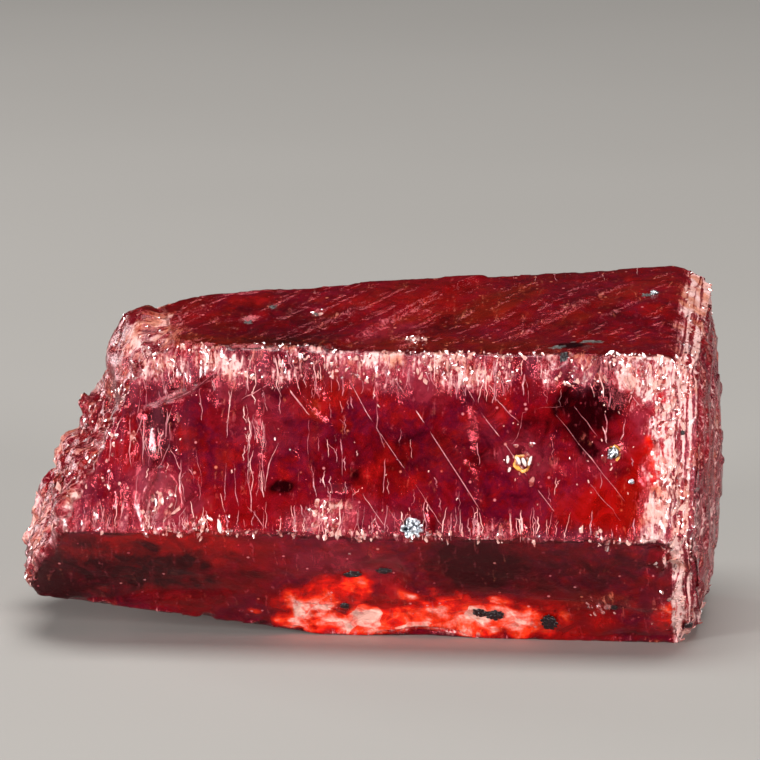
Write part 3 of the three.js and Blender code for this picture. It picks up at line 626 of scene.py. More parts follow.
mottle = add(raw_ruby, "MapRange", {"Value": veils.outputs["Fac"], 1: 0.3, 2: 0.7, 3: 0.5, 4: 1.5})
inside = add(raw_ruby, "VectorMath", {0: inside, "Scale": mottle.outputs[0]}, operation="SCALE").outputs[0]

# Streaks of mauve veil, drawn out across the crystal, show where it is etched.
long_place = add(raw_ruby, "Mapping", {
    "Vector": skin_place, "Scale": (1 / STREAK_SIZE[0], 1 / STREAK_SIZE[1], 1),
})
streaks = add(raw_ruby, "TexNoise", {
    "Vector": long_place.outputs[0], "Scale": 1, "Detail": 4, "Roughness": 0.6, "Distortion": 0.6,
})
streak_level = add(raw_ruby, "MapRange", {"Value": streaks.outputs["Fac"], 1: 0.46, 2: 0.66, 3: 0, 4: 1})
streak_share = add(raw_ruby, "Math", {0: streak_level.outputs[0], 1: share["etch"]}, operation="MULTIPLY")
inside = add(raw_ruby, "Mix", {"Factor": streak_share.outputs[0], 6: inside, 7: linear(STREAK_COLOUR)},
             data_type="RGBA").outputs[2]

# Comb: etching draws the frost out across the crystal too, in fine upright lines. Threads are the thin
# walls between etch pits, and come and go.
stretched = add(raw_ruby, "Mapping", {
    "Vector": skin_place, "Scale": (1 / COMB_SIZE[0], 1 / COMB_SIZE[1], 1),
})
comb = add(raw_ruby, "TexNoise", {
    "Vector": stretched.outputs[0], "Scale": 1, "Detail": 4, "Roughness": 0.65, "Distortion": 0.9,
})
thread_level = add(raw_ruby, "Math", {0: comb.outputs["Fac"], 1: 0.5}, operation="SUBTRACT")
thread_side = add(raw_ruby, "Math", {0: thread_level.outputs[0]}, operation="ABSOLUTE")
threads = add(raw_ruby, "MapRange", {"Value": thread_side.outputs[0], 1: 0.0, 2: 0.025, 3: 1, 4: 0},
              interpolation_type="SMOOTHSTEP")
thread_breaks = add(raw_ruby, "TexNoise", {"Vector": skin_place, "Scale": THREAD_BREAKS_PER_MM, "Detail": 3})
thread_mask = add(raw_ruby, "MapRange", {
    "Value": thread_breaks.outputs["Fac"], 1: 0.42, 2: 0.65, 3: 0, 4: 0.8,
})
threads_kept = add(raw_ruby, "Math", {0: threads.outputs[0], 1: thread_mask.outputs[0]}, operation="MULTIPLY")
threads_etched = add(raw_ruby, "Math", {0: threads_kept.outputs[0], 1: share["etch"]}, operation="MULTIPLY")

# Frost is broken up by the comb, by fine grains and, on the plates, by their leaves. Small flecks of it are
# scattered everywhere; these flecks are painted glints, white dots that stand in for sparkle.
grain = add(raw_ruby, "TexNoise", {
    "Vector": solid_place, "Scale": 1 / (FROST_GRAIN * MM), "Detail": 4, "Roughness": 0.7,
})
combed = add(raw_ruby, "Math", {0: comb.outputs["Fac"], 1: 1.6, 2: grain.outputs["Fac"]},
             operation="MULTIPLY_ADD")
combed_swing = add(raw_ruby, "MapRange", {"Value": combed.outputs[0], 1: 0.95, 2: 1.65, 3: -0.55, 4: 0.55})
leaf_place = add(raw_ruby, "Mapping", {
    "Vector": skin_place, "Scale": (1 / LEAF_LINE_SIZE[0], 1 / LEAF_LINE_SIZE[1], 1),
})
leaf_noise = add(raw_ruby, "TexNoise", {"Vector": leaf_place.outputs[0], "Scale": 1, "Detail": 2})
leaf_swing = add(raw_ruby, "MapRange", {
    "Value": leaf_noise.outputs["Fac"], 1: 0.38, 2: 0.62, 3: -0.8, 4: 0.5,
})
leaf_lines = add(raw_ruby, "Math", {0: leaf_swing.outputs[0], 1: share["leaf"], 2: share["frost"]},
                 operation="MULTIPLY_ADD")
frost_broken = add(raw_ruby, "Math", {0: leaf_lines.outputs[0], 1: combed_swing.outputs[0]}, operation="ADD")
frost_sharp = add(raw_ruby, "MapRange", {"Value": frost_broken.outputs[0], 1: 0.25, 2: 0.95, 3: 0, 4: 1})
# Painted glints: small white dots scattered over the skin.
glint_cells = add(raw_ruby, "TexVoronoi", {
    "Vector": solid_place, "Scale": 1 / (GLINT_SPACING * MM), "Randomness": 1,
})
glint_dots = add(raw_ruby, "MapRange", {
    "Value": glint_cells.outputs["Distance"], 1: 0.1, 2: 0.2, 3: 1, 4: 0,
})
glint_pick = add(raw_ruby, "MapRange", {
    "Value": glint_cells.outputs["Color"], 1: 0.62, 2: 0.72, 3: 0, 4: 0.75,
})
glint_flecks = add(raw_ruby, "Math", {0: glint_dots.outputs[0], 1: glint_pick.outputs[0]}, operation="MULTIPLY")
scattered = add(raw_ruby, "Math", {0: glint_flecks.outputs[0], 1: threads_etched.outputs[0]}, operation="MAXIMUM")
whitening = add(raw_ruby, "Math", {0: frost_sharp.outputs[0], 1: scattered.outputs[0]}, operation="MAXIMUM")

# Frost goes from dusky red where it is thin to pinkish white, with an orange stain in patches. Its palest
# white is partly a painted highlight.
frost_level = add(raw_ruby, "Math", {0: frost_broken.outputs[0], 1: scattered.outputs[0]},
                  operation="MAXIMUM")
frost_colour = add(raw_ruby, "ValToRGB", {"Fac": frost_level.outputs[0]})
colour_stops(frost_colour, FROST_COLOURS)
stain_noise = add(raw_ruby, "TexNoise", {"Vector": solid_place, "Scale": 1 / (STAIN_SIZE * MM), "Detail": 3})
stain_level = add(raw_ruby, "Math", {0: share["warm"], 1: 0.3, 2: stain_noise.outputs["Fac"]},
                  operation="MULTIPLY_ADD")
stain = add(raw_ruby, "MapRange", {"Value": stain_level.outputs[0], 1: 0.52, 2: 0.72, 3: 0, 4: 0.75})
frost_stained = add(raw_ruby, "Mix", {
    "Factor": stain.outputs[0], 6: frost_colour.outputs[0], 7: linear(STAIN_COLOUR),
}, data_type="RGBA")
ruby_colour = add(raw_ruby, "Mix", {
    "Factor": whitening.outputs[0], 6: inside, 7: frost_stained.outputs[2],
}, data_type="RGBA")

# Clear stone lets light through, and haze, the painted glow and frost stop it.
cloudiness = add(raw_ruby, "Math", {0: share["glow"], 1: 2.0, 2: share["haze"]}, operation="MULTIPLY_ADD")
hazed_clear = add(raw_ruby, "MapRange", {"Value": cloudiness.outputs[0], 1: 0, 2: 2, 3: 0.6, 4: 0.1})
clearness = add(raw_ruby, "Mix", {"Factor": whitening.outputs[0], 2: hazed_clear.outputs[0], 3: 0.05})
dullness = add(raw_ruby, "MapRange", {"Value": whitening.outputs[0], 1: 0, 2: 0.8, 3: 0.12, 4: 0.4})

# The etched ground glints white where its small faces catch the light.
glaze = add(raw_ruby, "Math", {0: share["etch"], 1: 0.7, 2: 0.02}, operation="MULTIPLY_ADD")
crumble = add(raw_ruby, "TexNoise", {
    "Vector": solid_place, "Scale": 1 / (CRUMBLE_SIZE * MM), "Detail": 4, "Roughness": 0.6,
    "Distortion": 1.0,
})
crumbled = add(raw_ruby, "Math", {0: crumble.outputs["Fac"], 1: 3.0, 2: combed.outputs[0]},
               operation="MULTIPLY_ADD")
crumbled_share = add(raw_ruby, "Math", {0: share["frost"], 1: 0.12}, operation="ADD")
relief = add(raw_ruby, "Math", {0: crumbled.outputs[0], 1: crumbled_share.outputs[0]}, operation="MULTIPLY")
surface = add(raw_ruby, "Bump", {"Height": relief.outputs[0], "Distance": 0.05 * MM, "Strength": 0.8})
ruby_shader = add(raw_ruby, "BsdfPrincipled", {
    "Base Color": ruby_colour.outputs[2], "Roughness": dullness.outputs[0], "IOR": RUBY_IOR,
    "Transmission Weight": clearness.outputs[0], "Normal": surface.outputs[0],
    "Specular Tint": RUBY_SHEEN, "Coat Weight": glaze.outputs[0], "Coat Roughness": 0.12,
})
ruby_depth = add(raw_ruby, "VolumeAbsorption", {"Color": RUBY_TINT, "Density": RUBY_DEPTH})
add(raw_ruby, "OutputMaterial", {"Surface": ruby_shader.outputs[0], "Volume": ruby_depth.outputs[0]})
skin.materials.clear()
skin.materials.append(raw_ruby)
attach(ruby, "root")
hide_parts(RUBY_NODE)

# The walls and seams that stand up from the etched faces: thin frosted ribs of the same ruby, left where
# the rock ate the softer ground away. Upright ones are walls between pits, slanting ones are twin seams.
RIB_SIDES = 5
RIB_RINGS = 8
RIB_HEIGHT = 0.4
RIB_POINTS = 12
RIB_WOBBLE = 0.05
SEAM_SHARE = 0.42
SEAM_TONES = (0.0, 0.3)
RIB_GRAIN = 0.15
RIB_COLOURS = (0.35, "#7E2432"), (0.65, "#A85860"), (1.0, "#E0A8A0")
# Each seam on the front: its line, as places along the crystal and up the face, and its whole width. The
# rib that stands up in it reaches SEAM_SHARE of that to each side, where it is widest.
FRONT_SEAMS = [
    ([(-0.31, 3.51), (0.31, 2.43), (0.92, 1.63), (1.86, 0.28)], 0.035),
    ([(0.48, 3.64), (0.99, 2.9), (1.51, 2.18), (2.01, 1.45), (2.48, 0.75), (2.82, 0.27)], 0.05),
    ([(2.04, 3.32), (2.45, 2.65), (2.98, 1.95), (3.57, 1.2), (4.31, 0.26)], 0.035),
    ([(2.82, 2.82), (3.26, 2.34)], 0.035), ([(3.96, 2.53), (4.51, 1.93), (4.91, 1.4), (5.41, 0.82)], 0.03),
    ([(5.15, 3.37), (5.63, 2.69), (6.09, 2.03)], 0.035), ([(4.34, 2.7), (4.82, 2.12)], 0.025),
    ([(-0.54, 1.98), (-0.26, 1.64)], 0.025), ([(0.25, 0.91), (0.77, 0.21)], 0.03),
    ([(1.46, 0.82), (1.92, 0.2)], 0.03), ([(-1.45, 3.16), (-1.05, 2.68), (-0.84, 2.41)], 0.07),
    ([(-1.99, 0.6), (-1.64, 0.19)], 0.03), ([(0.8, 0.57), (1.2, 0.05)], 0.025),
    ([(-3.97, 2.48), (-3.19, 2.87), (-2.56, 3.41)], 0.06), ([(-2.21, 2.69), (-1.45, 3.16)], 0.04),
    ([(0.69, 3.37), (1.4, 3.74)], 0.03), ([(4.69, 1.2), (5.32, 0.45)], 0.025),
    ([(3.12, 1.92), (3.31, 2.2), (3.31, 2.57), (3.84, 2.68), (4.16, 2.7)], 0.022),
    ([(3.73, 3.0), (3.84, 2.72)], 0.03), ([(4.07, 3.05), (4.06, 2.7)], 0.03),
    ([(1.48, 3.56), (1.52, 3.2), (1.64, 3.05)], 0.045), ([(0.49, 2.7), (0.48, 2.2), (0.67, 1.8)], 0.045),
    ([(0.68, 1.6), (0.67, 0.9)], 0.05), ([(-0.19, 1.95), (-0.14, 0.95)], 0.03),
    ([(-0.77, 1.45), (-0.65, 0.8)], 0.05), ([(-0.85, 2.35), (-0.84, 1.5)], 0.035),
    ([(-1.73, 2.25), (-1.66, 1.65)], 0.035), ([(2.5, 1.95), (2.52, 1.5)], 0.035),
    ([(2.15, 1.0), (2.18, 0.5)], 0.03), ([(1.51, 0.85), (1.47, 0.6), (1.58, 0.25)], 0.04),
    ([(-4.4, 2.4), (-4.33, 1.3)], 0.04), ([(-4.15, 2.45), (-4.09, 1.35)], 0.04),
    ([(-3.59, 2.2), (-3.58, 1.75), (-3.81, 1.3)], 0.03), ([(-3.58, 1.75), (-3.31, 1.2)], 0.03),
    ([(4.94, 2.6), (4.99, 2.0)], 0.05),
]


def on_path(rows, t):
    """The place or the way at a share of the length of a path."""
    steps = np.linspace(0, 1, len(rows))
    return Vector([np.interp(t, steps, rows[:, k]) for k in range(3)])


def shape_rib(verts, path, width, tone):
    """Bends one spindle along a path on the skin: points in millimetres and the way out at each."""
    spots, outs = path
    ring = {}
    for v in verts:
        key = round(v.co.z, 3)
        if key not in ring:
            t = (v.co.z + 1) / 2
            spot = on_path(spots, t)
            out = on_path(outs, t).normalized()
            ahead = on_path(spots, min(t + 0.05, 1)) - on_path(spots, max(t - 0.05, 0))
            uneven = width * (0.5 + 0.55 * noise.noise(spot * 3.1))
            ring[key] = (spot, ahead.cross(out).normalized() * uneven, out * width * RIB_HEIGHT)
        spot, side, out = ring[key]
        v.co = spot + side * v.co.x + out * v.co.y
        v.co.z = max(v.co.z, 0)
        v[tone_layer] = tone


def seat(face, along, rise_up):
    """The place on the real skin over a place in a face, and the way out there, evened by the face's."""
    place, across, out = FACES[face][:3]
    start = place * [0, 1, 1] + across * rise_up + [along, 0, 0] - DRAWING_CENTRE
    if face == "back_upper":
        start = place + across * rise_up - DRAWING_CENTRE + np.cross(across, out) * (along - place[0])
    hit, hit_out, _, _ = skin_tree.ray_cast(Vector(start + out), -Vector(out), 2.0)
    return None if hit is None else (hit, hit_out * 0.4 + Vector(out) * 0.6)


def laid(face, line):
    """A line in a face, as points on the real skin and the way out at each."""
    steps = np.linspace(0, 1, len(line))
    line = np.array(line)
    seats = []
    for t in np.linspace(0, 1, RIB_POINTS):
        along, rise_up = (
            np.interp(t, steps, line[:, k]) + RIB_WOBBLE * noise.noise(Vector((t * 5, line[0][k] * 9, k + 1)))
            for k in (0, 1)
        )
        seats.append(seat(face, along, rise_up))
    return None if None in seats else tuple(np.array(rows) for rows in zip(*seats))


def piece_of(name, shape, material, smoothed=True):
    """Makes a shape drawn in millimetres one finished piece that sits on the stone."""
    bmesh.ops.scale(shape, vec=(MM,) * 3, verts=shape.verts)
    mesh = bpy.data.meshes.new(name)
    shape.to_mesh(mesh)
    shape.free()
    if smoothed:
        mesh.shade_smooth()
    mesh.materials.append(material)
    piece = bpy.data.objects.new(name, mesh)
    bpy.context.scene.collection.objects.link(piece)
    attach(piece, "root")


def copies(one, count):
    """Doubles a small closed mesh until there are enough of it. Gives the vertices of each."""
    size = len(one.verts)
    while len(one.verts) < size * count:
        bmesh.ops.duplicate(one, geom=one.verts[:] + one.edges[:] + one.faces[:])
    waiting = set(one.verts)
    islands = []
    for first in list(one.verts):
        if first not in waiting:
            continue
        island, rim = [], [first]
        waiting.discard(first)
        while rim:
            v = rim.pop()
            island.append(v)
            for e in v.link_edges:
                other = e.other_vert(v)
                if other in waiting:
                    waiting.discard(other)
                    rim.append(other)
        islands.append(island)
    spare = [v for island in islands[count:] for v in island]
    bmesh.ops.delete(one, geom=spare, context="VERTS")
    return islands[:count]


skin_bm = bmesh.new()
skin_bm.from_mesh(skin)
bmesh.ops.scale(skin_bm, vec=(1 / MM,) * 3, verts=skin_bm.verts)
skin_tree = BVHTree.FromBMesh(skin_bm)
skin_bm.free()

dice = random.Random(5)
ribs_wanted = [("front", line, width * SEAM_SHARE, dice.uniform(*SEAM_TONES)) for line, width in FRONT_SEAMS]

# Walls stand in clusters, and some fork. Each band of them is: face, how many, along the crystal, up to
# their lower ends, lengths, and how much they crowd towards the break.
CLUSTERED = 0.6
CLUSTER_SPREAD = 0.14
WALL_TOP = FRONT_WIDTH - 0.04
WALL_WIDTHS = (0.006, 0.026)
FORKED = 0.18
FORK_WIDTHS = (0.008, 0.02)
WALLS = [
    ("front", 150, (-4.2, 6.0), (2.7, 3.6), (0.15, 0.7), 1),
    ("front", 130, (-5.2, 6.0), (0.04, 0.16), (0.12, 0.6), 1),
    ("front", 60, (-4.9, -1.6), (0.4, 2.9), (0.2, 0.9), 1.3),
    ("front", 40, (-2.1, 5.8), (0.5, 2.9), (0.1, 0.4), 1),
    ("back_lower", 170, (-3, 6), (0.2, 4), (0.3, 1.0), 1),
    ("back_upper", 90, (-3, 6), (0.5, 2.2), (0.3, 0.8), 1),
]
for face, count, alongs, lows, lengths, crowding in WALLS:
    clusters = [dice.uniform(*alongs) for _ in range(max(count // 6, 1))]
    for _ in range(count):
        along = alongs[0] + (alongs[1] - alongs[0]) * dice.random() ** crowding
        if dice.random() < CLUSTERED:
            along = dice.choice(clusters) + dice.gauss(0, CLUSTER_SPREAD)
        low = dice.uniform(*lows)
        length = dice.uniform(*lengths)
        if face == "front":
            length = min(length, WALL_TOP - low)
        lean = dice.gauss(-0.05, 0.13)
        bow = dice.gauss(0, 0.1)
        line = [(along, low), (along + (lean + bow) * length * 0.5, low + length / 2),
                (along + lean * length, low + length)]
        ribs_wanted.append((face, line, dice.uniform(*WALL_WIDTHS), dice.random() ** 2))
        if dice.random() < FORKED:
            fork = [line[1], (line[1][0] + dice.uniform(-0.12, 0.12), line[1][1] + length * 0.4)]
            ribs_wanted.append((face, fork, dice.uniform(*FORK_WIDTHS), dice.random()))
paths = [(laid(face, line), width, tone) for face, line, width, tone in ribs_wanted]
paths = [one for one in paths if one[0] is not None]

# One spindle is doubled until there are enough, then each is bent along its own path.
ribs_bm = bmesh.new()
bmesh.ops.create_uvsphere(ribs_bm, u_segments=RIB_SIDES, v_segments=RIB_RINGS, radius=1)
tone_layer = ribs_bm.verts.layers.float.new("tone")
for spindle, (path, width, tone) in zip(copies(ribs_bm, len(paths)), paths):
    shape_rib(spindle, path, width, tone)

# Frosted ruby: the same corundum with an etched skin, dusky pink to nearly white.
frosted_ruby = new_material("frosted_ruby")
rib_tone = add(frosted_ruby, "Attribute", attribute_name="tone").outputs["Fac"]
rib_place = add(frosted_ruby, "TexCoord").outputs["Object"]
rib_grain = add(frosted_ruby, "TexNoise", {"Vector": rib_place, "Scale": 1 / (RIB_GRAIN * MM), "Detail": 3})
rib_mix = add(frosted_ruby, "Math", {0: rib_tone, 1: 0.6, 2: rib_grain.outputs["Fac"]},
              operation="MULTIPLY_ADD")
rib_colour = add(frosted_ruby, "ValToRGB", {"Fac": rib_mix.outputs[0]})
colour_stops(rib_colour, RIB_COLOURS)
rib_bump = add(frosted_ruby, "Bump", {
    "Height": rib_grain.outputs["Fac"], "Distance": 0.01 * MM, "Strength": 0.5,
})
rib_dull = add(frosted_ruby, "MapRange", {
    "Value": rib_grain.outputs["Fac"], 1: 0.3, 2: 0.7, 3: 0.2, 4: 0.45,
})
rib_shader = add(frosted_ruby, "BsdfPrincipled", {
    "Base Color": rib_colour.outputs[0], "Roughness": rib_dull.outputs[0], "IOR": RUBY_IOR,
    "Normal": rib_bump.outputs[0],
})
add(frosted_ruby, "OutputMaterial", {"Surface": rib_shader.outputs[0]})
piece_of("etch_ribs", ribs_bm, frosted_ruby)

# Crumbs: along its rims, before the plates and on the break the stone is eaten away and broken to small
# flat-sided chips of clear and frosted ruby. Each band of them is: face, how many, along, up the face,
# sizes and tones. Each heap is: face, along, up, reach, how many and the brightest tone.
CRUMB_LENGTHS = (1.1, 2.3)
CRUMB_HEIGHTS = (0.5, 0.8)
CRUMB_UNEVENNESS = 1.3
HEAP_SIZES = (0.015, 0.055)
STRAY_SIZES = (0.012, 0.045)
CRUMB_TOP = FRONT_WIDTH - 0.03
BREAK_CRUMBS = 260
PLATE_CRUMBS = 260
CRUMB_GRAIN = 0.12
CRUMB_COLOURS = (0.4, "#8E1824"), (0.7, "#C0504C"), (0.9615, "#F0B4A8")
CRUMB_BANDS = [
    ("front", 420, (-4.3, 6.1), (3.1, 3.76), (0.012, 0.04), (0.0, 0.75)),
    ("front", 300, (5.85, 6.6), (0.05, 3.76), (0.015, 0.055), (0.0, 0.85)),
    ("front", 130, (-5.3, 5.9), (0.0, 0.16), (0.015, 0.04), (0.0, 0.7)),
    ("front", 90, (-5.4, -3.4), (0.3, 3.6), (0.015, 0.05), (0.0, 0.8)),
    ("front", 110, (-3.4, 5.9), (0.2, 3.2), (0.008, 0.02), (0.2, 1.0)),
    ("under", 40, (5.8, 6.5), (0.1, 3.0), (0.02, 0.05), (0.0, 0.6)),
    ("top", 90, (-4, 6.5), (0.0, 0.2), (0.012, 0.035), (0.0, 0.5)),
]
CRUMB_HEAPS = [
    ("front", -0.38, 0.44, 0.5, 50, 0.6), ("front", -3.6, 0.7, 0.25, 20, 0.9),
    ("front", -2.9, 0.3, 0.3, 20, 0.7), ("front", 4.7, 0.2, 0.3, 20, 0.7),
    ("front", -3.35, 3.55, 0.35, 24, 0.9), ("front", 3.35, 1.55, 0.35, 26, 0.6),
    ("front", 5.1, 1.75, 0.24, 14, 0.5), ("front", 2.1, 3.5, 0.5, 30, 0.8), ("front", 5.3, 3.6, 0.5, 30, 0.9),
    ("top", 1.11, 0.75, 0.22, 26, 0.8), ("top", -1.01, 1.83, 0.14, 10, 0.7),
    ("under", 4.81, 0.95, 0.3, 18, 0.4),
]
crumbs_wanted = []
for face, count, alongs, ups, sizes, tones in CRUMB_BANDS:
    for _ in range(count):
        crumbs_wanted.append((face, dice.uniform(*alongs), dice.uniform(*ups), dice.uniform(*sizes),
                              dice.uniform(*tones)))
for face, along, rise_up, reach, count, brightest in CRUMB_HEAPS:
    for _ in range(count):
        crumbs_wanted.append((face, dice.gauss(along, reach * 0.5), dice.gauss(rise_up, reach * 0.45),
                              dice.uniform(*HEAP_SIZES), brightest * dice.uniform(0.1, 1)))
crumb_seats = []
for face, along, rise_up, size, tone in crumbs_wanted:
    found = seat(face, along, min(rise_up, CRUMB_TOP) if face == "front" else rise_up)
    if found and noise.noise(found[0] * 1.3) > dice.uniform(-0.45, 0.2):
        crumb_seats.append((*found, Vector(FACES[face][1]), size, tone))
for wanted, count in ((rubble > 0.6, BREAK_CRUMBS), (in_plates > 0.8, PLATE_CRUMBS)):
    for i in dice.sample(np.flatnonzero(wanted).tolist(), count):
        crumb_seats.append((Vector(placed[i]), Vector(rounded[i]), Vector((0, 0.01, 1)),
                            dice.uniform(*STRAY_SIZES), dice.random() ** 1.5 * 0.8))

crumbs_bm = bmesh.new()
bmesh.ops.create_icosphere(crumbs_bm, subdivisions=1, radius=1)
crumb_tone = crumbs_bm.verts.layers.float.new("tone")
chips = copies(crumbs_bm, len(crumb_seats))
for i, (chip, (spot, out, along, size, tone)) in enumerate(zip(chips, crumb_seats)):
    out.normalize()
    side = out.cross(along).normalized()
    lean = dice.gauss(0, 0.4)
    along = (side.cross(out) * math.cos(lean) + side * math.sin(lean)).normalized()
    side = out.cross(along)
    length, height = dice.uniform(*CRUMB_LENGTHS), dice.uniform(*CRUMB_HEIGHTS)
    for v in chip:
        shape = v.co * size * (1 + CRUMB_UNEVENNESS * noise.noise(v.co * 1.3 + Vector((i, 0, 0))))
        v.co = spot + side * shape.x + along * shape.y * length + out * shape.z * height
        v.co.z = max(v.co.z, 0)
        v[crumb_tone] = tone

# Glassy ruby: the same stone in small clear chips, each with its own share of frost.
glassy_ruby = new_material("glassy_ruby")
crumb_share = add(glassy_ruby, "Attribute", attribute_name="tone").outputs["Fac"]
crumb_place = add(glassy_ruby, "TexCoord").outputs["Object"]
crumb_grain = add(glassy_ruby, "TexNoise", {
    "Vector": crumb_place, "Scale": 1 / (CRUMB_GRAIN * MM), "Detail": 3,
})
crumb_mix = add(glassy_ruby, "Math", {0: crumb_share, 1: 0.8, 2: crumb_grain.outputs["Fac"]},
                operation="MULTIPLY_ADD")
crumb_colour = add(glassy_ruby, "ValToRGB", {"Fac": crumb_mix.outputs[0]})
colour_stops(crumb_colour, CRUMB_COLOURS)
crumb_clear = add(glassy_ruby, "MapRange", {"Value": crumb_mix.outputs[0], 1: 0.5, 2: 1.1, 3: 0.75, 4: 0.3})
crumb_shader = add(glassy_ruby, "BsdfPrincipled", {
    "Base Color": crumb_colour.outputs[0], "Roughness": 0.14, "IOR": RUBY_IOR,
    "Transmission Weight": crumb_clear.outputs[0],
})
add(glassy_ruby, "OutputMaterial", {"Surface": crumb_shader.outputs[0]})
piece_of("etch_crumbs", crumbs_bm, glassy_ruby, smoothed=False)

# The small minerals seated in the stone. Each grain is: face, along the crystal, up the face, half its
# width, height and thickness, turn, crumple and lift, in millimetres and degrees.
GRAIN_FOLDS = 0.62


def crumpled_grains(name, material, grains):
    """Crumpled grains of one mineral, each seated in its pit, as one piece."""
    bm = bmesh.new()
    fold_layer = bm.verts.layers.float.new("fold")
    for seed, (face, along, rise_up, wide, high, thick, slant, crumple, lift) in enumerate(grains):
        spot, out = seat(face, along, rise_up)
        out.normalize()
        level = Vector(FACES[face][1]).cross(out).normalized()
        upright = out.cross(level)
        turn = math.radians(slant)
        side = level * math.cos(turn) + upright * math.sin(turn)
        way = upright * math.cos(turn) - level * math.sin(turn)
        verts = bmesh.ops.create_icosphere(bm, subdivisions=5 if wide > 0.15 else 4, radius=1)["verts"]
        ball = np.array([v.co for v in verts])
        folds = smooth(0, 0.5, cells(ball, (GRAIN_FOLDS,) * 3, seed + 31))
        lumpy = 1 - crumple * (1 - folds) + 0.16 * cloud(ball, (0.5, 0.5, 0.5), seed + 51)
        for v, shape, fold in zip(verts, ball * lumpy[:, None], folds):
            v.co = spot + side * shape[0] * wide + way * shape[1] * high + out * (shape[2] * thick + lift)
            # The fold is kept for the silvery colour, which paints shade into the creases.
            v[fold_layer] = fold
    piece_of(name, bm, material)


# Silvery grains: crumpled flakes of a graphite-like mineral that the ruby grew round, laid bare in pits.
# Their colour is bright on their bulges and darkened in the creases between, which is painted shade.
silvery = new_material("silvery_flakes")
silver_crease_shade = add(silvery, "Attribute", attribute_name="fold").outputs["Fac"]
silver_place = add(silvery, "TexCoord").outputs["Object"]
silver_noise = add(silvery, "TexNoise", {"Vector": silver_place, "Scale": 1 / (0.09 * MM), "Detail": 3})
silver_level = add(silvery, "Math", {0: silver_crease_shade, 1: 0.75, 2: silver_noise.outputs["Fac"]},
                   operation="MULTIPLY_ADD")
silver_colour = add(silvery, "ValToRGB", {"Fac": silver_level.outputs[0]})
colour_stops(silver_colour, ((0.45, "#181E26"), (0.95, "#E4E8F0")))
silver_bump = add(silvery, "Bump", {
    "Height": silver_noise.outputs["Fac"], "Distance": 0.03 * MM, "Strength": 0.7,
})
silver_shader = add(silvery, "BsdfPrincipled", {
    "Base Color": silver_colour.outputs[0], "Metallic": 1.0, "Roughness": 0.28,
    "Normal": silver_bump.outputs[0],
})
add(silvery, "OutputMaterial", {"Surface": silver_shader.outputs[0]})
crumpled_grains("silvery_grains", silvery, [
    ("front", 1.25, 0.24, 0.23, 0.23, 0.14, 20, 0.36, 0.07),
    ("front", 5.12, 1.8, 0.11, 0.15, 0.09, -25, 0.3, 0.05),
    ("front", 5.5, 1.24, 0.07, 0.06, 0.05, 0, 0.25, 0.02),
    ("top", 5.66, 3.3, 0.1, 0.1, 0.05, 10, 0.3, 0.02),
])

# Black grains: specks of glossy dark iron oxide, some flush with the skin and some in small pits. They are
# nearly black, with a brown-red cast.


def mottled(name, grain_size, detail, dark, light, roughness, bump=0):
    """A material of two colours, mixed by grains that may stand up too. Grain and bump in millimetres."""
    material = new_material(name)
    place = add(material, "TexCoord").outputs["Object"]
    specks = add(material, "TexNoise", {
        "Vector": place, "Scale": 1 / (grain_size * MM), "Detail": detail,
    }).outputs["Fac"]
    colour = add(material, "Mix", {"Factor": specks, 6: linear(dark), 7: linear(light)}, data_type="RGBA")
    shader = add(material, "BsdfPrincipled", {"Base Color": colour.outputs[2], "Roughness": roughness})
    if bump:
        relief = add(material, "Bump", {"Height": specks, "Distance": bump * MM, "Strength": 0.6})
        material.node_tree.links.new(relief.outputs[0], shader.inputs["Normal"])
    add(material, "OutputMaterial", {"Surface": shader.outputs[0]})
    return material


black_oxide = mottled("black_iron_oxide", 0.07, 3, "#050304", "#241418", 0.3, bump=0.02)
crumpled_grains("black_grains", black_oxide, [
    ("under", 0.01, 1.9, 0.19, 0.1, 0.05, 8, 0.25, 0.01),
    ("under", 0.62, 1.95, 0.17, 0.1, 0.05, -6, 0.25, 0.01),
    ("under", -0.22, 0.93, 0.1, 0.1, 0.05, 0, 0.2, 0.01),
    ("under", 2.45, 0.76, 0.16, 0.17, 0.06, 0, 0.3, 0.02),
    ("under", 2.75, 0.74, 0.2, 0.15, 0.06, 20, 0.3, 0.02),
    ("under", 3.82, 0.55, 0.17, 0.24, 0.07, 10, 0.3, 0.02),
    ("under", 5.12, 1.02, 0.07, 0.1, 0.04, 0, 0.2, 0.01),
    ("under", 6.55, 0.3, 0.09, 0.1, 0.04, 0, 0.2, 0.01),
    ("front", 6.45, 2.25, 0.05, 0.05, 0.03, 0, 0.2, 0.01),
    ("front", 4.1, 3.68, 0.1, 0.14, 0.05, 0, 0.3, 0.0),
])

# Grey film: thin dark smears of the silvery mineral on the top face, most of them near its front edge.
grey_film = mottled("grey_film", 0.12, 4, "#14181A", "#6A6460", 0.35)
crumpled_grains("grey_film", grey_film, [
    ("top", 4.5, 0.84, 0.34, 0.09, 0.03, 12, 0.7, -0.004),
    ("top", 3.95, 0.5, 0.2, 0.12, 0.03, 20, 0.7, -0.004),
    ("top", -2.32, 1.46, 0.15, 0.16, 0.04, 10, 0.7, -0.006),
    ("top", -1.89, 2.07, 0.1, 0.16, 0.04, -20, 0.7, -0.006),
    ("top", -1.01, 1.83, 0.1, 0.12, 0.04, 0, 0.7, -0.006),
    ("top", 5.5, 3.2, 0.12, 0.14, 0.03, 0, 0.7, -0.004),
])

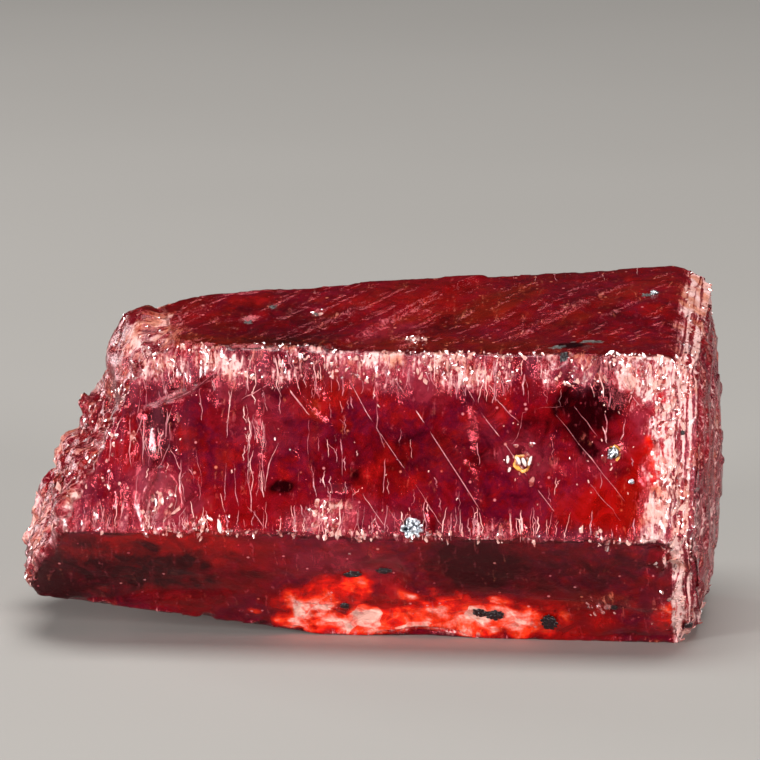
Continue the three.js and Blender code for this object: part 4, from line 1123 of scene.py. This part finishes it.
# Honey rims: rings of honey-coloured resinous matter round two of the pits with grains in them. Each is:
# face, along, up, radius and half-thickness.
RIM_LIFT = 0.03
RIM_UNEVENNESS = 0.07
RIMS = [
    ("front", 3.36, 1.56, 0.14, 0.035),
    ("front", 5.1, 1.78, 0.18, 0.025),
]
rim_bm = bmesh.new()
for face, along, rise_up, radius, tube in RIMS:
    spot, out = seat(face, along, rise_up)
    out.normalize()
    side = Vector(FACES[face][1]).cross(out).normalized()
    verts = bmesh.ops.create_circle(rim_bm, segments=12, radius=tube)["verts"]
    for v in verts:
        v.co = spot + side * (radius + v.co.x) + out * (v.co.y + RIM_LIFT)
    circle = list(dict.fromkeys(e for v in verts for e in v.link_edges))
    bmesh.ops.spin(rim_bm, geom=circle, cent=spot, axis=out, angle=math.tau, steps=32, use_merge=True)
for v in rim_bm.verts:
    uneven = (noise.noise(v.co * 9), noise.noise(v.co * 9 + Vector((5, 0, 0))), noise.noise(v.co * 8))
    v.co += Vector(uneven) * RIM_UNEVENNESS
bmesh.ops.recalc_face_normals(rim_bm, faces=rim_bm.faces)
honey = new_material("honey_resinous_rim")
honey_place = add(honey, "TexCoord").outputs["Object"]
honey_noise = add(honey, "TexNoise", {"Vector": honey_place, "Scale": 1 / (0.12 * MM), "Detail": 3})
honey_colour = add(honey, "ValToRGB", {"Fac": honey_noise.outputs["Fac"]})
colour_stops(honey_colour, ((0.35, "#6A2C08"), (0.62, "#E8A048")))
honey_shader = add(honey, "BsdfPrincipled", {"Base Color": honey_colour.outputs[0], "Roughness": 0.2})
add(honey, "OutputMaterial", {"Surface": honey_shader.outputs[0]})
piece_of("honey_rims", rim_bm, honey)

# Pale platelets: white mica-like leaves that stand in and round the ringed pits. They are warm white and
# glossy.
pale_mica = mottled("pale_mica", 0.08, 3, "#C89888", "#F4ECEC", 0.25)
crumpled_grains("pale_platelets", pale_mica, [
    ("front", 3.28, 1.6, 0.035, 0.09, 0.05, 20, 0.2, 0.06),
    ("front", 3.4, 1.58, 0.04, 0.1, 0.05, 25, 0.2, 0.07),
    ("front", 3.52, 1.6, 0.03, 0.12, 0.05, -15, 0.2, 0.06),
    ("front", 3.08, 1.62, 0.03, 0.09, 0.04, 0, 0.2, 0.03),
    ("front", 3.12, 1.42, 0.03, 0.06, 0.04, -20, 0.2, 0.03),
    ("front", -3.52, 0.82, 0.05, 0.04, 0.03, 0, 0.4, 0.0),
    ("front", -2.53, 0.2, 0.045, 0.16, 0.04, 10, 0.2, 0.0),
])
